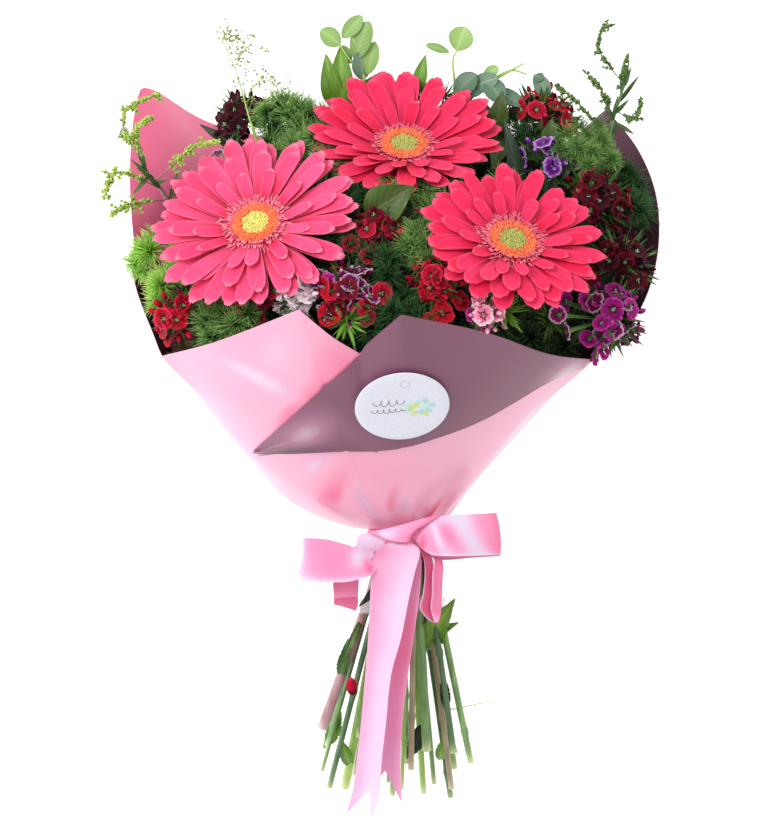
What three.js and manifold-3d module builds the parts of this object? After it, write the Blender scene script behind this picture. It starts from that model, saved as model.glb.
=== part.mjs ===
// A hand-tied bouquet in a two-tone wrapping sheet, lying on its back on a table.
// Millimetres. +Z is up from the table, +Y runs from the cut stems to the flower heads, +X is the bouquet's right.
// The origin lies on the table under the middle of the bouquet.
import * as THREE from 'three';
import { mergeVertices } from 'three/addons/utils/BufferGeometryUtils.js';
import Module from 'manifold-3d';

const wasm = await Module();
wasm.setup();

const V = (x, y, z) => new THREE.Vector3(x, y, z);
const DEG = Math.PI / 180;
const GOLDEN = Math.PI * (3 - Math.sqrt(5)); // the turn between neighbours in a natural spiral

// ---------------------------------------------------------------- driving sizes
const TIE = V(14.6, -67, 71); // middle of the binding point, where every stem passes
const HEART = V(6, 20, 95); // the flower heads face away from this point inside the bouquet
const NECK = 18.6; // inner radius of the outer sheet where the ribbon gathers it
const SHEET = 1; // thickness of a sheet, measured square to the bouquet's axis
const GAP = 0.45; // room left between two pieces
const FINE = 0.1; // detail smaller than this is left out
const SKIRT = 12; // the sheets reach this far past the tie, towards the stems

const COLOURS = {
  coral: '#f2506e', disc: '#c9c35a', burgundy: '#4a0d22', darkred: '#6e0f26', crimson: '#b3122f', red: '#c4142c',
  violet: '#7d1f92', magenta: '#c21f8e', plum: '#8d1a63', white: '#efe3e6', blush: '#ee8fae', stem: '#5f8a3e',
  fern: '#4f7a35', lime: '#86b53e', deepgreen: '#33552f', goldenrod: '#8fa63f', grass: '#b9c77a', gum: '#8fae8d',
  leaf: '#5b8a2c', wood: '#a07d72', pinksheet: '#f4a6c4', rosesheet: '#e07595', plumsheet: '#7d5266',
  satin: '#f58fc0', card: '#f1f0f4', tape: '#e8eaec',
};

// ---------------------------------------------------------------- solids
function solidOf(geometry) {
  const bare = new THREE.BufferGeometry().setAttribute('position', geometry.getAttribute('position'));
  if (geometry.index) bare.setIndex(geometry.index);
  const merged = mergeVertices(bare, 1e-4);
  let triVerts = new Uint32Array(merged.index.array);
  const vertProperties = merged.attributes.position.array;
  const build = () => new wasm.Manifold(new wasm.Mesh({ numProp: 3, vertProperties, triVerts }));
  const made = build();
  if (made.volume() > 0) return made;
  triVerts = triVerts.map((v, i) => triVerts[i % 3 === 0 ? i + 2 : i % 3 === 2 ? i - 2 : i]);
  return build();
}

// A skin through rings of points. A ring of one point is a tip, and an open end is closed across.
function loft(rings, closed = false) {
  const points = rings.flat();
  const starts = [];
  rings.reduce((sum, ring) => (starts.push(sum), sum + ring.length), 0);
  const index = [];
  const joins = closed ? rings.length : rings.length - 1;
  for (let i = 0; i < joins; i++) {
    const j = (i + 1) % rings.length;
    const [a, b, na, nb] = [starts[i], starts[j], rings[i].length, rings[j].length];
    const n = Math.max(na, nb);
    for (let k = 0; k < n; k++) {
      const [a0, a1, b0, b1] = [a + (k % na), a + ((k + 1) % na), b + (k % nb), b + ((k + 1) % nb)];
      if (nb > 1) index.push(a0, b1, b0);
      if (na > 1) index.push(a0, a1, b1);
    }
  }
  const close = (start, n, first) => {
    let [i, j] = [0, n - 1];
    for (let step = 0; j - i > 1; step++) {
      const k = step % 2 ? j - 1 : i + 1;
      index.push(...(first ? [start + i, start + j, start + k] : [start + i, start + k, start + j]));
      if (step % 2) j = k;
      else i = k;
    }
  };
  if (!closed) {
    close(starts[0], rings[0].length, true);
    close(starts.at(-1), rings.at(-1).length, false);
  }
  const geometry = new THREE.BufferGeometry().setFromPoints(points);
  geometry.setIndex(index);
  return solidOf(geometry);
}

// A thin sheet from columns of [front, back] point pairs, split into triangles alike on both faces.
function sheetOf(columns, closed = false) {
  const n = columns[0].length;
  const at = (i, j, back) => 2 * ((i % columns.length) * n + j) + back;
  const index = [];
  const face = (a, b, c, d) => index.push(a, b, c, a, c, d);
  const spans = closed ? columns.length : columns.length - 1;
  for (let i = 0; i < spans; i++) {
    for (let j = 0; j + 1 < n; j++) {
      face(at(i, j, 0), at(i + 1, j, 0), at(i + 1, j + 1, 0), at(i, j + 1, 0));
      index.push(at(i, j, 1), at(i + 1, j + 1, 1), at(i + 1, j, 1), at(i, j, 1), at(i, j + 1, 1), at(i + 1, j + 1, 1));
    }
    face(at(i, 0, 0), at(i, 0, 1), at(i + 1, 0, 1), at(i + 1, 0, 0));
    face(at(i, n - 1, 0), at(i + 1, n - 1, 0), at(i + 1, n - 1, 1), at(i, n - 1, 1));
  }
  for (let j = 0; !closed && j + 1 < n; j++) {
    face(at(0, j, 0), at(0, j + 1, 0), at(0, j + 1, 1), at(0, j, 1));
    face(at(spans, j, 0), at(spans, j, 1), at(spans, j + 1, 1), at(spans, j + 1, 0));
  }
  const geometry = new THREE.BufferGeometry().setFromPoints(columns.flat(2));
  geometry.setIndex(index);
  return solidOf(geometry);
}

const union = (solids) => wasm.Manifold.union(solids);

function largest(solid) {
  const bodies = solid.decompose();
  return bodies.sort((a, b) => b.volume() - a.volume())[0];
}

// A number between 0 and 1 that only depends on its seed.
function chance(seed) {
  const s = Math.sin(seed * 127.1 + 311.7) * 43758.5453;
  return s - Math.floor(s);
}

const placed = (solid, frame) => solid.transform(frame.elements);

// The frame of something that faces along a direction from a point, turned by spin about it.
function facingFrame(at, facing, spin = 0) {
  const turn = new THREE.Quaternion().setFromUnitVectors(V(0, 0, 1), facing.clone().normalize());
  turn.multiply(new THREE.Quaternion().setFromAxisAngle(V(0, 0, 1), spin));
  return new THREE.Matrix4().compose(at, turn, V(1, 1, 1));
}

// A round stalk through points, with a radius at each of them.
function stalk(points, radii, sides = 5) {
  const course = points.at(-1).clone().sub(points[0]).normalize();
  const aside = Math.abs(course.z) < 0.8 ? V(0, 0, 1) : V(1, 0, 0);
  const rings = points.map((p, i) => {
    const along = points[Math.min(i + 1, points.length - 1)].clone().sub(points[Math.max(i - 1, 0)]).normalize();
    const across = aside.clone().cross(along).normalize();
    const up = along.clone().cross(across);
    const r = radii[Math.min(i, radii.length - 1)];
    return Array.from({ length: sides }, (_, k) => {
      const a = (2 * Math.PI * k) / sides;
      return p.clone().addScaledVector(across, r * Math.cos(a)).addScaledVector(up, r * Math.sin(a));
    });
  });
  return loft(rings);
}

// A leaf or petal along points: flat on top, with a rib below its middle.
function blade(points, widths, rib, up) {
  const rings = points.map((p, i) => {
    const along = points[Math.min(i + 1, points.length - 1)].clone().sub(points[Math.max(i - 1, 0)]).normalize();
    const side = along.clone().cross(up).normalize();
    const under = side.clone().cross(along).normalize();
    if (widths[i] === 0) return [p];
    const half = widths[i] / 2;
    return [p.clone().addScaledVector(side, -half), p.clone().addScaledVector(side, half),
      p.clone().addScaledVector(under, -rib)];
  });
  return loft(rings);
}

// Every face of a closed geometry is raised to a point: a ball or brush of needles, buds or seeds.
function spiked(geometry, reach) {
  const flat = geometry.index ? geometry.toNonIndexed() : geometry;
  const position = flat.getAttribute('position');
  const points = [];
  for (let i = 0; i < position.count; i += 3) {
    const [a, b, c] = [0, 1, 2].map((k) => new THREE.Vector3().fromBufferAttribute(position, i + k));
    const outward = b.clone().sub(a).cross(c.clone().sub(a)).normalize();
    const tip = a.clone().add(b).add(c).divideScalar(3).addScaledVector(outward, reach(i / 3));
    points.push(a, b, tip, b, c, tip, c, a, tip);
  }
  return solidOf(new THREE.BufferGeometry().setFromPoints(points));
}

// ---------------------------------------------------------------- the wrapping sheets
// The outer sheet's rim, from its right tip round the bouquet's right side, its back and its left to the notch in front.
const RIM = [
  [12, 48, 222], [56, 39, 205], [89, 28, 180], [115, 25, 150], [140, 50, 131], [152, 81, 112], [153, 114, 95],
  [144, 142, 75], [127, 167, 50], [100, 148, 20], [55, 146, -8], [14.6, 147, -12], [-40, 147, -8], [-85, 140, 12],
  [-112, 140, 48], [-130, 105, 82], [-134, 73, 112], [-121, 37, 138], [-117, 28, 150], [-85, 36, 185],
  [-42, 52, 216], [-25, 38, 205], [-10, 29, 196], [0, 38, 208],
].map((p) => V(...p));
const wholeTurn = (a) => (a + 2 * Math.PI) % (2 * Math.PI);
const angleOf = (p) => Math.atan2(p.x - TIE.x, p.z - TIE.z); // 0 in front, a quarter turn on the right
const rimAngles = RIM.map((p, i) => (i === 0 ? angleOf(p) : angleOf(RIM[0]) + wholeTurn(angleOf(p) - angleOf(RIM[0]))));

function rimAt(angle) {
  const a = rimAngles[0] + wholeTurn(angle - rimAngles[0]);
  let i = rimAngles.findLastIndex((r) => r <= a + 1e-9);
  const from = RIM[i], to = RIM[(i + 1) % RIM.length];
  const end = i + 1 < RIM.length ? rimAngles[i + 1] : rimAngles[0] + 2 * Math.PI;
  return from.clone().lerp(to, (a - rimAngles[i]) / (end - rimAngles[i]));
}

// The reaches of the sheets' creases, from the tie (0) to the rim (1). They are straight in between.
const REACHES = [-1, 0, 0.1, 0.28, 0.55, 0.85, 1];

// A point of the outer sheet's crease i at an angle round the axis, and how far outside the sheet it is.
function onCrease(angle, i, out) {
  const rim = rimAt(angle);
  const ray = V(Math.sin(angle), 0, Math.cos(angle));
  const neck = TIE.clone().addScaledVector(ray, NECK);
  const reach = REACHES[i];
  const swell = Math.max(reach, 0) ** (0.7 + 0.12 * Math.sin(angle)); // fuller on the left
  const p = V(neck.x + (rim.x - neck.x) * swell, neck.y + (rim.y - neck.y) * reach, neck.z + (rim.z - neck.z) * swell);
  if (reach < 0) p.y = neck.y + SKIRT * reach;
  p.addScaledVector(ray, out);
  p.z = Math.max(p.z, SHEET - Math.min(out, SHEET)); // pressed flat where it lies on the table
  return p;
}

function onSheet(angle, reach, out) {
  const i = Math.min(REACHES.findLastIndex((r) => r <= reach), REACHES.length - 2);
  const [low, high] = [REACHES[i], REACHES[i + 1]];
  return onCrease(angle, i, out).lerp(onCrease(angle, i + 1, out), (reach - low) / (high - low));
}

// The angles of the sheets' pleats: every corner of the rim, and halfway along its long stretches.
const PLEATS = rimAngles.flatMap((a, i) => {
  const next = i + 1 < rimAngles.length ? rimAngles[i + 1] : rimAngles[0] + 2 * Math.PI;
  return next - a > 16 * DEG ? [a, (a + next) / 2] : [a];
});
const column = (angle, reaches, low, high) => reaches.map((r) => [onSheet(angle, r, high), onSheet(angle, r, low)]);

function outerSheet(low = 0, high = SHEET) {
  return sheetOf(PLEATS.map((a) => column(a, REACHES, low, high)), true);
}

// The inner sheet lines the left and the back, and its corner stands up past the outer rim on the left.
const INNER = { from: 165 * DEG, to: 290 * DEG, corner: 260 * DEG, reach: 1.19, front: 28 * DEG, back: 50 * DEG,
  inward: 2.8 * SHEET };
function innerSheet(grow = 0) {
  const [low, high] = [-INNER.inward - grow, SHEET - INNER.inward + grow];
  return sheetOf(PLEATS.filter((a) => a >= INNER.from && a <= INNER.to).map((angle) => {
    const away = angle > INNER.corner ? (angle - INNER.corner) / INNER.front : (INNER.corner - angle) / INNER.back;
    const top = 0.97 + (INNER.reach - 0.97) * Math.max(0, 1 - away);
    return column(angle, [...REACHES.slice(0, -1), top], low, high);
  }));
}

// The front of the outer sheet is folded down over itself: angle and reach along the fold and along the free edge.
const FOLD = [[-54, 0.45], [-34, 0.561], [-26, 0.61], [-20, 0.684], [-15, 0.86], [-10, 0.985], [50, 0.985]];
const FREE_EDGE = [[-54, 0.43], [-40, 0.405], [-22, 0.364], [-11.5, 0.45], [0, 0.396], [15, 0.488], [26, 0.598],
  [34, 0.726], [41, 0.856], [50, 0.965]];
function edgeAt(edge, degrees) {
  const i = Math.min(edge.findLastIndex(([a]) => a <= degrees), edge.length - 2);
  const [[a0, r0], [a1, r1]] = [edge[i], edge[i + 1]];
  return r0 + ((r1 - r0) * (degrees - a0)) / (a1 - a0);
}
function foldedFront() {
  const angles = [-54, -47, -40, -34, -26, -20, -15, -10, -1, 8, 17, 26, 34, 42, 50];
  const [under, over] = [2.4 * SHEET, 3.4 * SHEET];
  return sheetOf(angles.map((a) => {
    const [top, bottom] = [edgeAt(FOLD, a), edgeAt(FREE_EDGE, a)];
    const reaches = [0, 1 / 3, 2 / 3, 1].map((k) => bottom + (top - bottom) * k);
    return column(a * DEG, reaches, under, over);
  }));
}

// The stiff round card stuck on the folded front.
const CARD = { angle: -1 * DEG, reach: 0.59, radius: 25.5, thickness: 0.9, stand: 5 * SHEET, sides: 20 };
function card() {
  const { angle, reach, stand } = CARD;
  const across = onSheet(angle + 12 * DEG, reach, stand).sub(onSheet(angle - 12 * DEG, reach, stand));
  const along = onSheet(angle, 0.8, stand).sub(onSheet(angle, 0.4, stand));
  const disc = new THREE.CylinderGeometry(CARD.radius, CARD.radius, CARD.thickness, CARD.sides).rotateX(Math.PI / 2);
  return placed(solidOf(disc), facingFrame(onSheet(angle, reach, stand), across.cross(along)));
}

// ---------------------------------------------------------------- satin ribbon and binding tape
const RIBBON = { width: 24, thickness: 0.9, bandWidth: 11 };

// A strip of ribbon along points, with the direction and share of its width at each of them.
function strip(points, across, shares) {
  const rings = points.map((p, i) => {
    const along = points[Math.min(i + 1, points.length - 1)].clone().sub(points[Math.max(i - 1, 0)]).normalize();
    const side = across[Math.min(i, across.length - 1)].clone().normalize();
    const face = along.clone().cross(side).normalize().multiplyScalar(RIBBON.thickness / 2);
    side.multiplyScalar((RIBBON.width * shares[Math.min(i, shares.length - 1)]) / 2);
    return [p.clone().sub(side), p.clone().add(side)].map((edge) => [edge.clone().add(face), edge.clone().sub(face)]);
  });
  return sheetOf(rings);
}

const KNOT = V(17, -74, 99);
const BOW = {
  leftLoop: [KNOT, V(2, -79, 107), V(-20, -83, 110), V(-38, -84, 107), V(-45, -84, 100), V(-38, -83, 94),
    V(-18, -80, 93), V(4, -76, 96), KNOT],
  rightLoop: [KNOT, V(32, -70, 107), V(50, -68, 109), V(62, -69, 106), V(67, -70, 99), V(60, -71, 93),
    V(42, -71, 92), V(28, -73, 96), KNOT],
  shares: [0.45, 0.7, 0.9, 0.92, 0.92, 0.92, 0.88, 0.65, 0.45],
  leftDrop: [KNOT, V(2, -88, 98), V(-13, -98, 97), V(-19, -104, 93), V(-13, -98, 90), V(2, -90, 92), KNOT],
  rightDrop: [KNOT, V(26, -88, 99), V(30, -100, 98), V(31, -108, 94), V(30, -100, 91), V(26, -90, 93), KNOT],
  dropShares: [0.4, 0.55, 0.6, 0.6, 0.6, 0.5, 0.4],
};
const TAILS = {
  front: [KNOT, V(10, -92, 102), V(6, -106, 102), V(0, -146, 101), V(-3, -180, 95), V(-8, -207, 90), V(-11, -224, 86)],
  frontAcross: [V(1, 0, 0), V(1, 0, 0), V(1, 0, 0.1), V(0.75, 0, 0.5), V(0.7, 0, 0.55), V(0.7, 0, 0.55), V(0.7, 0, 0.55)],
  rear: [KNOT, V(17, -92, 96), V(12, -106, 94), V(9, -140, 91), V(7, -175, 86), V(6, -200, 82), V(6, -217, 79)],
  rearAcross: [V(1, 0, 0), V(1, 0, 0), V(1, 0, -0.1), V(0.9, 0, -0.2), V(0.8, 0, -0.25), V(0.7, 0, -0.3), V(0.6, 0, -0.3)],
  shares: [0.4, 0.85, 1, 1, 1, 1, 1],
};

// The V cut in the end of a ribbon, as a wedge to take away.
function swallowtail(points, across) {
  const [before, end] = points.slice(-2);
  const along = end.clone().sub(before).normalize();
  const side = across.at(-1).clone().normalize();
  const up = side.clone().cross(along).multiplyScalar(6);
  const corners = [end.clone().addScaledVector(along, -15), end.clone().addScaledVector(side, 8.5).addScaledVector(along, 2),
    end.clone().addScaledVector(side, -8.5).addScaledVector(along, 2)];
  return loft([corners.map((c) => c.clone().sub(up)), corners.map((c) => c.clone().add(up))]);
}

// A flat ring round the bouquet's axis at y.
function hoop(y, width, centre, radiusX, radiusZ, thickness, sides) {
  const ring = (dy, grow) => Array.from({ length: sides }, (_, k) => {
    const a = (2 * Math.PI * k) / sides;
    return V(centre.x + (radiusX + grow) * Math.sin(a), y + dy, centre.z + (radiusZ + grow) * Math.cos(a));
  });
  const [w, t] = [width / 2, thickness];
  return loft([ring(-w, 0), ring(-w, t), ring(w, t), ring(w, 0)], true);
}

function ribbon() {
  const loop = (points, shares) => strip(points, [V(0.08, 1, 0)], shares);
  const knot = solidOf(new THREE.SphereGeometry(1, 8, 5).scale(8.5, 7, 8.5).translate(KNOT.x, KNOT.y, KNOT.z));
  return union([
    hoop(TIE.y - 6, RIBBON.bandWidth, TIE, NECK + SHEET + 2.5 * GAP, NECK + SHEET + 2.5 * GAP, RIBBON.thickness, 12),
    knot,
    loop(BOW.leftLoop, BOW.shares),
    loop(BOW.rightLoop, BOW.shares),
    strip(BOW.leftDrop, [V(0.6, -0.8, 0)], BOW.dropShares),
    strip(BOW.rightDrop, [V(1, 0, 0.3)], BOW.dropShares),
    largest(strip(TAILS.front, TAILS.frontAcross, TAILS.shares).subtract(swallowtail(TAILS.front, TAILS.frontAcross))),
    largest(strip(TAILS.rear, TAILS.rearAcross, TAILS.shares).subtract(swallowtail(TAILS.rear, TAILS.rearAcross))),
  ]);
}

// ---------------------------------------------------------------- the plants and where they stand
const GERBERAS = [
  { name: 'gerbera_left', at: V(-64, 95.5, 165), facing: V(-0.22, 0.63, 0.74), radius: 56, stem: 2.5, cut: 146 },
  { name: 'gerbera_top', at: V(14, 139, 118), facing: V(0.02, 0.77, 0.64), radius: 52, stem: 2.5, cut: 118 },
  { name: 'gerbera_right', at: V(69.5, 85, 188), facing: V(0.2, 0.61, 0.77), radius: 51, stem: 2.5, cut: 124 },
];
const SWEET_WILLIAMS = [
  { colour: 'burgundy', at: V(-74, 158, 84), radius: 17, cut: 140 },
  { colour: 'crimson', at: V(89, 158, 84), radius: 21, cut: 152 },
  { colour: 'violet', at: V(90, 134, 122), radius: 14, cut: 120 },
  { colour: 'darkred', at: V(117, 112, 128), radius: 21, cut: 146 },
  { colour: 'burgundy', at: V(131, 78, 142), radius: 19, cut: 131 },
  { colour: 'magenta', at: V(124, 48, 164), radius: 19, cut: 125 },
  { colour: 'red', at: V(31, 65, 192), radius: 15, cut: 149 },
  { colour: 'plum', at: V(-17, 60, 190), radius: 18, cut: 137 },
  { colour: 'white', at: V(-44, 62, 186), radius: 12, cut: 116 },
  { colour: 'darkred', at: V(0, 95, 170), radius: 14, cut: 128 },
  { colour: 'blush', at: V(58, 50, 203), radius: 10, cut: 134 },
  { colour: 'red', at: V(-109, 49, 160), radius: 13, cut: 122 },
  { colour: 'red', at: V(-70, 62, 172), radius: 13, cut: 145 },
  { colour: 'burgundy', at: V(8, 160, 62), radius: 20, cut: 133 },
];
// Fern tufts: where each frond's tufts stand.
const FERNS = [
  { colour: 'fern', tufts: [V(-40, 148, 118), V(-53, 166, 100), V(-28, 134, 142)], cut: 130 },
  { colour: 'lime', tufts: [V(-127, 86, 134), V(-117, 66, 152), V(-106, 84, 150)], cut: 124 },
  { colour: 'fern', tufts: [V(38, 104, 172), V(14, 122, 158), V(26, 86, 186)], cut: 146 },
  { colour: 'deepgreen', tufts: [V(-18, 110, 166), V(-26, 88, 178), V(6, 78, 188)], cut: 138 },
  { colour: 'fern', tufts: [V(-92, 46, 168), V(-76, 45, 178), V(-90, 66, 160)], cut: 136 },
  { colour: 'deepgreen', tufts: [V(8, 50, 198), V(-3, 42, 196), V(24, 44, 200)], cut: 141 },
  { colour: 'deepgreen', tufts: [V(135, 128, 104), V(141, 112, 116)], cut: 127 },
];
const TUFT = { core: 2.6, needle: 11 };
// Pointed leaves: root, tip and width of each, on a stalk of their own.
const LEAFY = [
  { name: 'leafy_stem_middle', colour: 'deepgreen', base: V(2, 98, 150), cut: 126,
    leaves: [[V(-2, 102, 158), V(14, 126, 172), 17], [V(4, 98, 158), V(30, 100, 186), 15]] },
  { name: 'leafy_stem_top', colour: 'leaf', base: V(-22, 162, 84), cut: 148,
    leaves: [[V(-24, 165, 86), V(-29, 192, 92), 11], [V(-20, 165, 88), V(-21, 197, 90), 13],
      [V(-18, 164, 84), V(2, 186, 84), 9]] },
  { name: 'leafy_stem_right', colour: 'deepgreen', base: V(66, 148, 92), cut: 144,
    leaves: [[V(64, 150, 96), V(66, 172, 104), 11], [V(68, 148, 98), V(62, 130, 122), 13]] },
];
// Round eucalyptus leaves in pairs along a curved stalk.
const EUCALYPTUS = [
  { name: 'eucalyptus_left', path: [V(-8, 160, 84), V(-8, 182, 88), V(-14, 204, 92)], cut: 112, pairs: 3, leaf: 16 },
  { name: 'eucalyptus_right', path: [V(44, 162, 84), V(56, 176, 88), V(80, 190, 92)], cut: 150, pairs: 3, leaf: 15 },
];
const GOLDENRODS = [
  { name: 'goldenrod_left', base: V(-112, 108, 112), top: V(-129, 132, 134), stem: 2.8, cut: 114,
    tips: [V(-145, 105, 135), V(-149, 114, 140), V(-87, 144, 155), V(-124, 157, 148), V(-119, 171, 138)] },
  { name: 'goldenrod_right', base: V(124, 140, 98), top: V(134, 176, 128), stem: 1.7, cut: 135,
    tips: [V(97, 175, 132), V(112, 184, 128), V(143, 169, 124), V(136, 192, 120), V(125, 211, 124)] },
];
const GRASS = { name: 'panicum_grass', base: V(-70, 156, 112), top: V(-92, 218, 120), cut: 151, branches: 7 };

const plants = [
  ...GERBERAS.map((g) => ({ key: g.name, at: g.at, radius: g.stem, cut: g.cut })),
  ...SWEET_WILLIAMS.map((s, i) => ({ key: 'sweet_william_' + (i + 1), at: s.at, radius: 1.6, cut: s.cut })),
  ...FERNS.map((f, i) => ({ key: 'fern_' + (i + 1), at: f.tufts[0], radius: 1.1, cut: f.cut })),
  ...LEAFY.map((l) => ({ key: l.name, at: l.base, radius: 1.3, cut: l.cut })),
  ...EUCALYPTUS.map((e) => ({ key: e.name, at: e.path[0], radius: 1.7, cut: e.cut })),
  ...GOLDENRODS.map((g) => ({ key: g.name, at: g.base, radius: g.stem, cut: g.cut })),
  { key: GRASS.name, at: GRASS.base, radius: 0.9, cut: GRASS.cut },
];

// Where each stem passes the tie: the heads' own layout shrunk into the neck, then eased apart until none touch.
const BUNDLE = 13.2;
const SPLAY = { x: 3.7, z: 2.8, twist: 20 * DEG, fall: 0.335, length: 150 };
for (const p of plants) {
  const ray = p.at.clone().sub(TIE);
  p.slot = new THREE.Vector2(ray.x / ray.y, ray.z / ray.y).multiplyScalar(BUNDLE);
}
for (let round = 0; round < 400; round++) {
  for (const p of plants) {
    for (const q of plants) {
      if (p === q) continue;
      const apart = p.slot.clone().sub(q.slot);
      const need = p.radius + q.radius + 0.75;
      const short = need - apart.length();
      if (short > 0) p.slot.addScaledVector(apart.normalize(), short * 0.3);
    }
    const room = NECK - INNER.inward - p.radius - GAP;
    if (p.slot.length() > room) p.slot.setLength(room);
  }
}

// The stem's line from its cut end through the tie to the head.
function stemLine(p, head) {
  const { x, y } = p.slot.clone().rotateAround(new THREE.Vector2(), SPLAY.twist);
  const share = p.cut / SPLAY.length;
  const spread = (k) => 1 + (k - 1) * share;
  const end = V(TIE.x + spread(SPLAY.x) * (p.slot.x + (x - p.slot.x) * share), TIE.y - p.cut,
    TIE.z - SPLAY.fall * p.cut + spread(SPLAY.z) * (p.slot.y + (y - p.slot.y) * share));
  end.z = Math.max(end.z, p.radius);
  const inNeck = (y0) => V(TIE.x + p.slot.x, y0, TIE.z + p.slot.y);
  return [end, inNeck(TIE.y - SKIRT - 1), inNeck(TIE.y + 3), head];
}
const plantOf = (key) => plants.find((p) => p.key === key);
const stemOf = (key, head, grow = 0) => {
  const p = plantOf(key);
  return stalk(stemLine(p, head), [p.radius + grow]);
};

// Clear tape wound round the stems below the ribbon, just loose of the outermost ones.
const TAPE = { below: 42, width: 9, thickness: 0.8, slack: 4.2, sides: 16 };
function bindingTape() {
  const y = TIE.y - TAPE.below;
  const inside = plants.map((p) => {
    const [end, neck] = stemLine(p, p.at);
    return neck.clone().lerp(end, (neck.y - y) / (neck.y - end.y));
  });
  const { min, max } = new THREE.Box3().setFromPoints(inside);
  const centre = min.clone().add(max).divideScalar(2);
  const [wide, deep] = [(max.x - min.x) / 2, (max.z - min.z) / 2];
  const fill = Math.max(...inside.map((s) => Math.hypot((s.x - centre.x) / wide, (s.z - centre.z) / deep)));
  return hoop(y, TAPE.width, centre, wide * fill + TAPE.slack, deep * fill + TAPE.slack, TAPE.thickness, TAPE.sides);
}

// ---------------------------------------------------------------- flower parts
function gerberaPetals(radius) {
  const ring = (count, from, to, width, low, high, seed) => Array.from({ length: count }, (_, k) => {
    const a = (2 * Math.PI * (k + seed)) / count;
    const end = to * (0.95 + 0.08 * chance(k + 50 * seed));
    const out = V(Math.cos(a), Math.sin(a), 0);
    const point = (r, z) => out.clone().multiplyScalar(r).setZ(z);
    return blade([point(from, low), point(from + (end - from) * 0.7, high), point(end, high - 0.3)],
      [width * 0.5, width, width * 0.35], 0.9, V(0, 0, 1));
  });
  const eye = new THREE.LatheGeometry([[11.6, -2.4], [19, -2.4], [19, 4.4], [11.6, 4.4], [11.6, -2.4]]
    .map(([r, z]) => new THREE.Vector2(r, z)), 12).rotateX(Math.PI / 2);
  return union([solidOf(eye), ...ring(12, 17, radius, radius * 0.33, -1, 5, 0),
    ...ring(12, 17, radius * 0.86, radius * 0.3, 1.4, 8.6, 0.5), ...ring(9, 17, radius * 0.56, 6, 3.6, 9, 0.25)]);
}
// The room that a gerbera's cup of petals takes.
function gerberaRoom(radius) {
  const profile = [[0, -4], [18, -4], [radius * 1.04, 2.8], [radius * 1.04, 11.5], [18, 8], [0, 8]];
  return solidOf(new THREE.LatheGeometry(profile.map(([r, z]) => new THREE.Vector2(r, z)), 20).rotateX(Math.PI / 2));
}
// Green cup under the petals with the disc of florets on top, pushed up through the ring of petals.
function gerberaDisc() {
  const profile = [[0, -10], [2.5, -10], [6, -7], [11, -3.6], [11, 3.6], [9.5, 5.2], [5, 6], [0, 5]];
  return solidOf(new THREE.LatheGeometry(profile.map(([r, z]) => new THREE.Vector2(r, z)), 10).rotateX(Math.PI / 2));
}

// A five-pointed star round the z axis: its tips, the notches between them, its middle and its pointed underside.
function star(tip, notch, middle, under, frame) {
  const rim = Array.from({ length: 10 }, (_, k) => {
    const [r, z] = k % 2 ? notch : tip;
    return V(r * Math.cos((k * Math.PI) / 5), r * Math.sin((k * Math.PI) / 5), z).applyMatrix4(frame);
  });
  const point = (z) => [V(0, 0, z).applyMatrix4(frame)];
  return loft([point(middle), rim, point(under)]);
}

// A domed head of five-lobed florets that narrow to their tubes: one on top and the others round it.
const FLORETS = { round: 5, tilt: 61 * DEG, spread: 0.76, size: 0.385 };
function sweetWilliamHead(radius, seed) {
  const size = radius * FLORETS.size;
  const florets = Array.from({ length: FLORETS.round + 1 }, (_, k) => {
    const tilt = k ? FLORETS.tilt : 0;
    const around = (2 * Math.PI * k) / FLORETS.round + seed;
    const out = V(Math.sin(tilt) * Math.cos(around), Math.sin(tilt) * Math.sin(around), Math.cos(tilt));
    const frame = facingFrame(out.clone().multiplyScalar(radius * FLORETS.spread), out, seed + k);
    return star([size, 0], [size * 0.66, -0.8], -1, -size, frame);
  });
  return union([solidOf(new THREE.IcosahedronGeometry(radius * 0.66, 0)), ...florets]);
}

// The ruff of pointed bracts under a head.
function sweetWilliamRuff(radius, seed) {
  const base = -0.7 * radius - GAP;
  return star([radius, base + 0.3 * radius], [radius * 0.28, base - 0.4], base, base - 2.5,
    new THREE.Matrix4().makeRotationZ(seed));
}

// A tuft of needles on every side of a small core.
function tuft(at, seed) {
  const core = new THREE.OctahedronGeometry(TUFT.core, 1);
  const ball = spiked(core, (i) => TUFT.needle * (0.8 + 0.35 * chance(i + seed)));
  return placed(ball, facingFrame(at, V(chance(seed) - 0.5, chance(seed + 1) - 0.5, 1), seed));
}

function leafBlade(root, tip, width, arch = 0.12) {
  const along = tip.clone().sub(root);
  const up = V(0, 0, 1).addScaledVector(along.clone().normalize(), -along.clone().normalize().z).normalize();
  const at = (t) => root.clone().addScaledVector(along, t).addScaledVector(up, along.length() * arch * 4 * t * (1 - t));
  return blade([at(0), at(0.25), at(0.55), at(0.82), at(1)], [1.2, width * 0.8, width, width * 0.55, 0], 1, up);
}

// A round leaf standing off a stalk.
function roundLeaf(root, out, size, up) {
  const at = (t) => root.clone().addScaledVector(out, size * t);
  return blade([at(0), at(0.3), at(0.62), at(0.88), at(1)], [1.2, size * 0.72, size * 0.86, size * 0.6, 0], 0.9, up);
}

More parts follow.
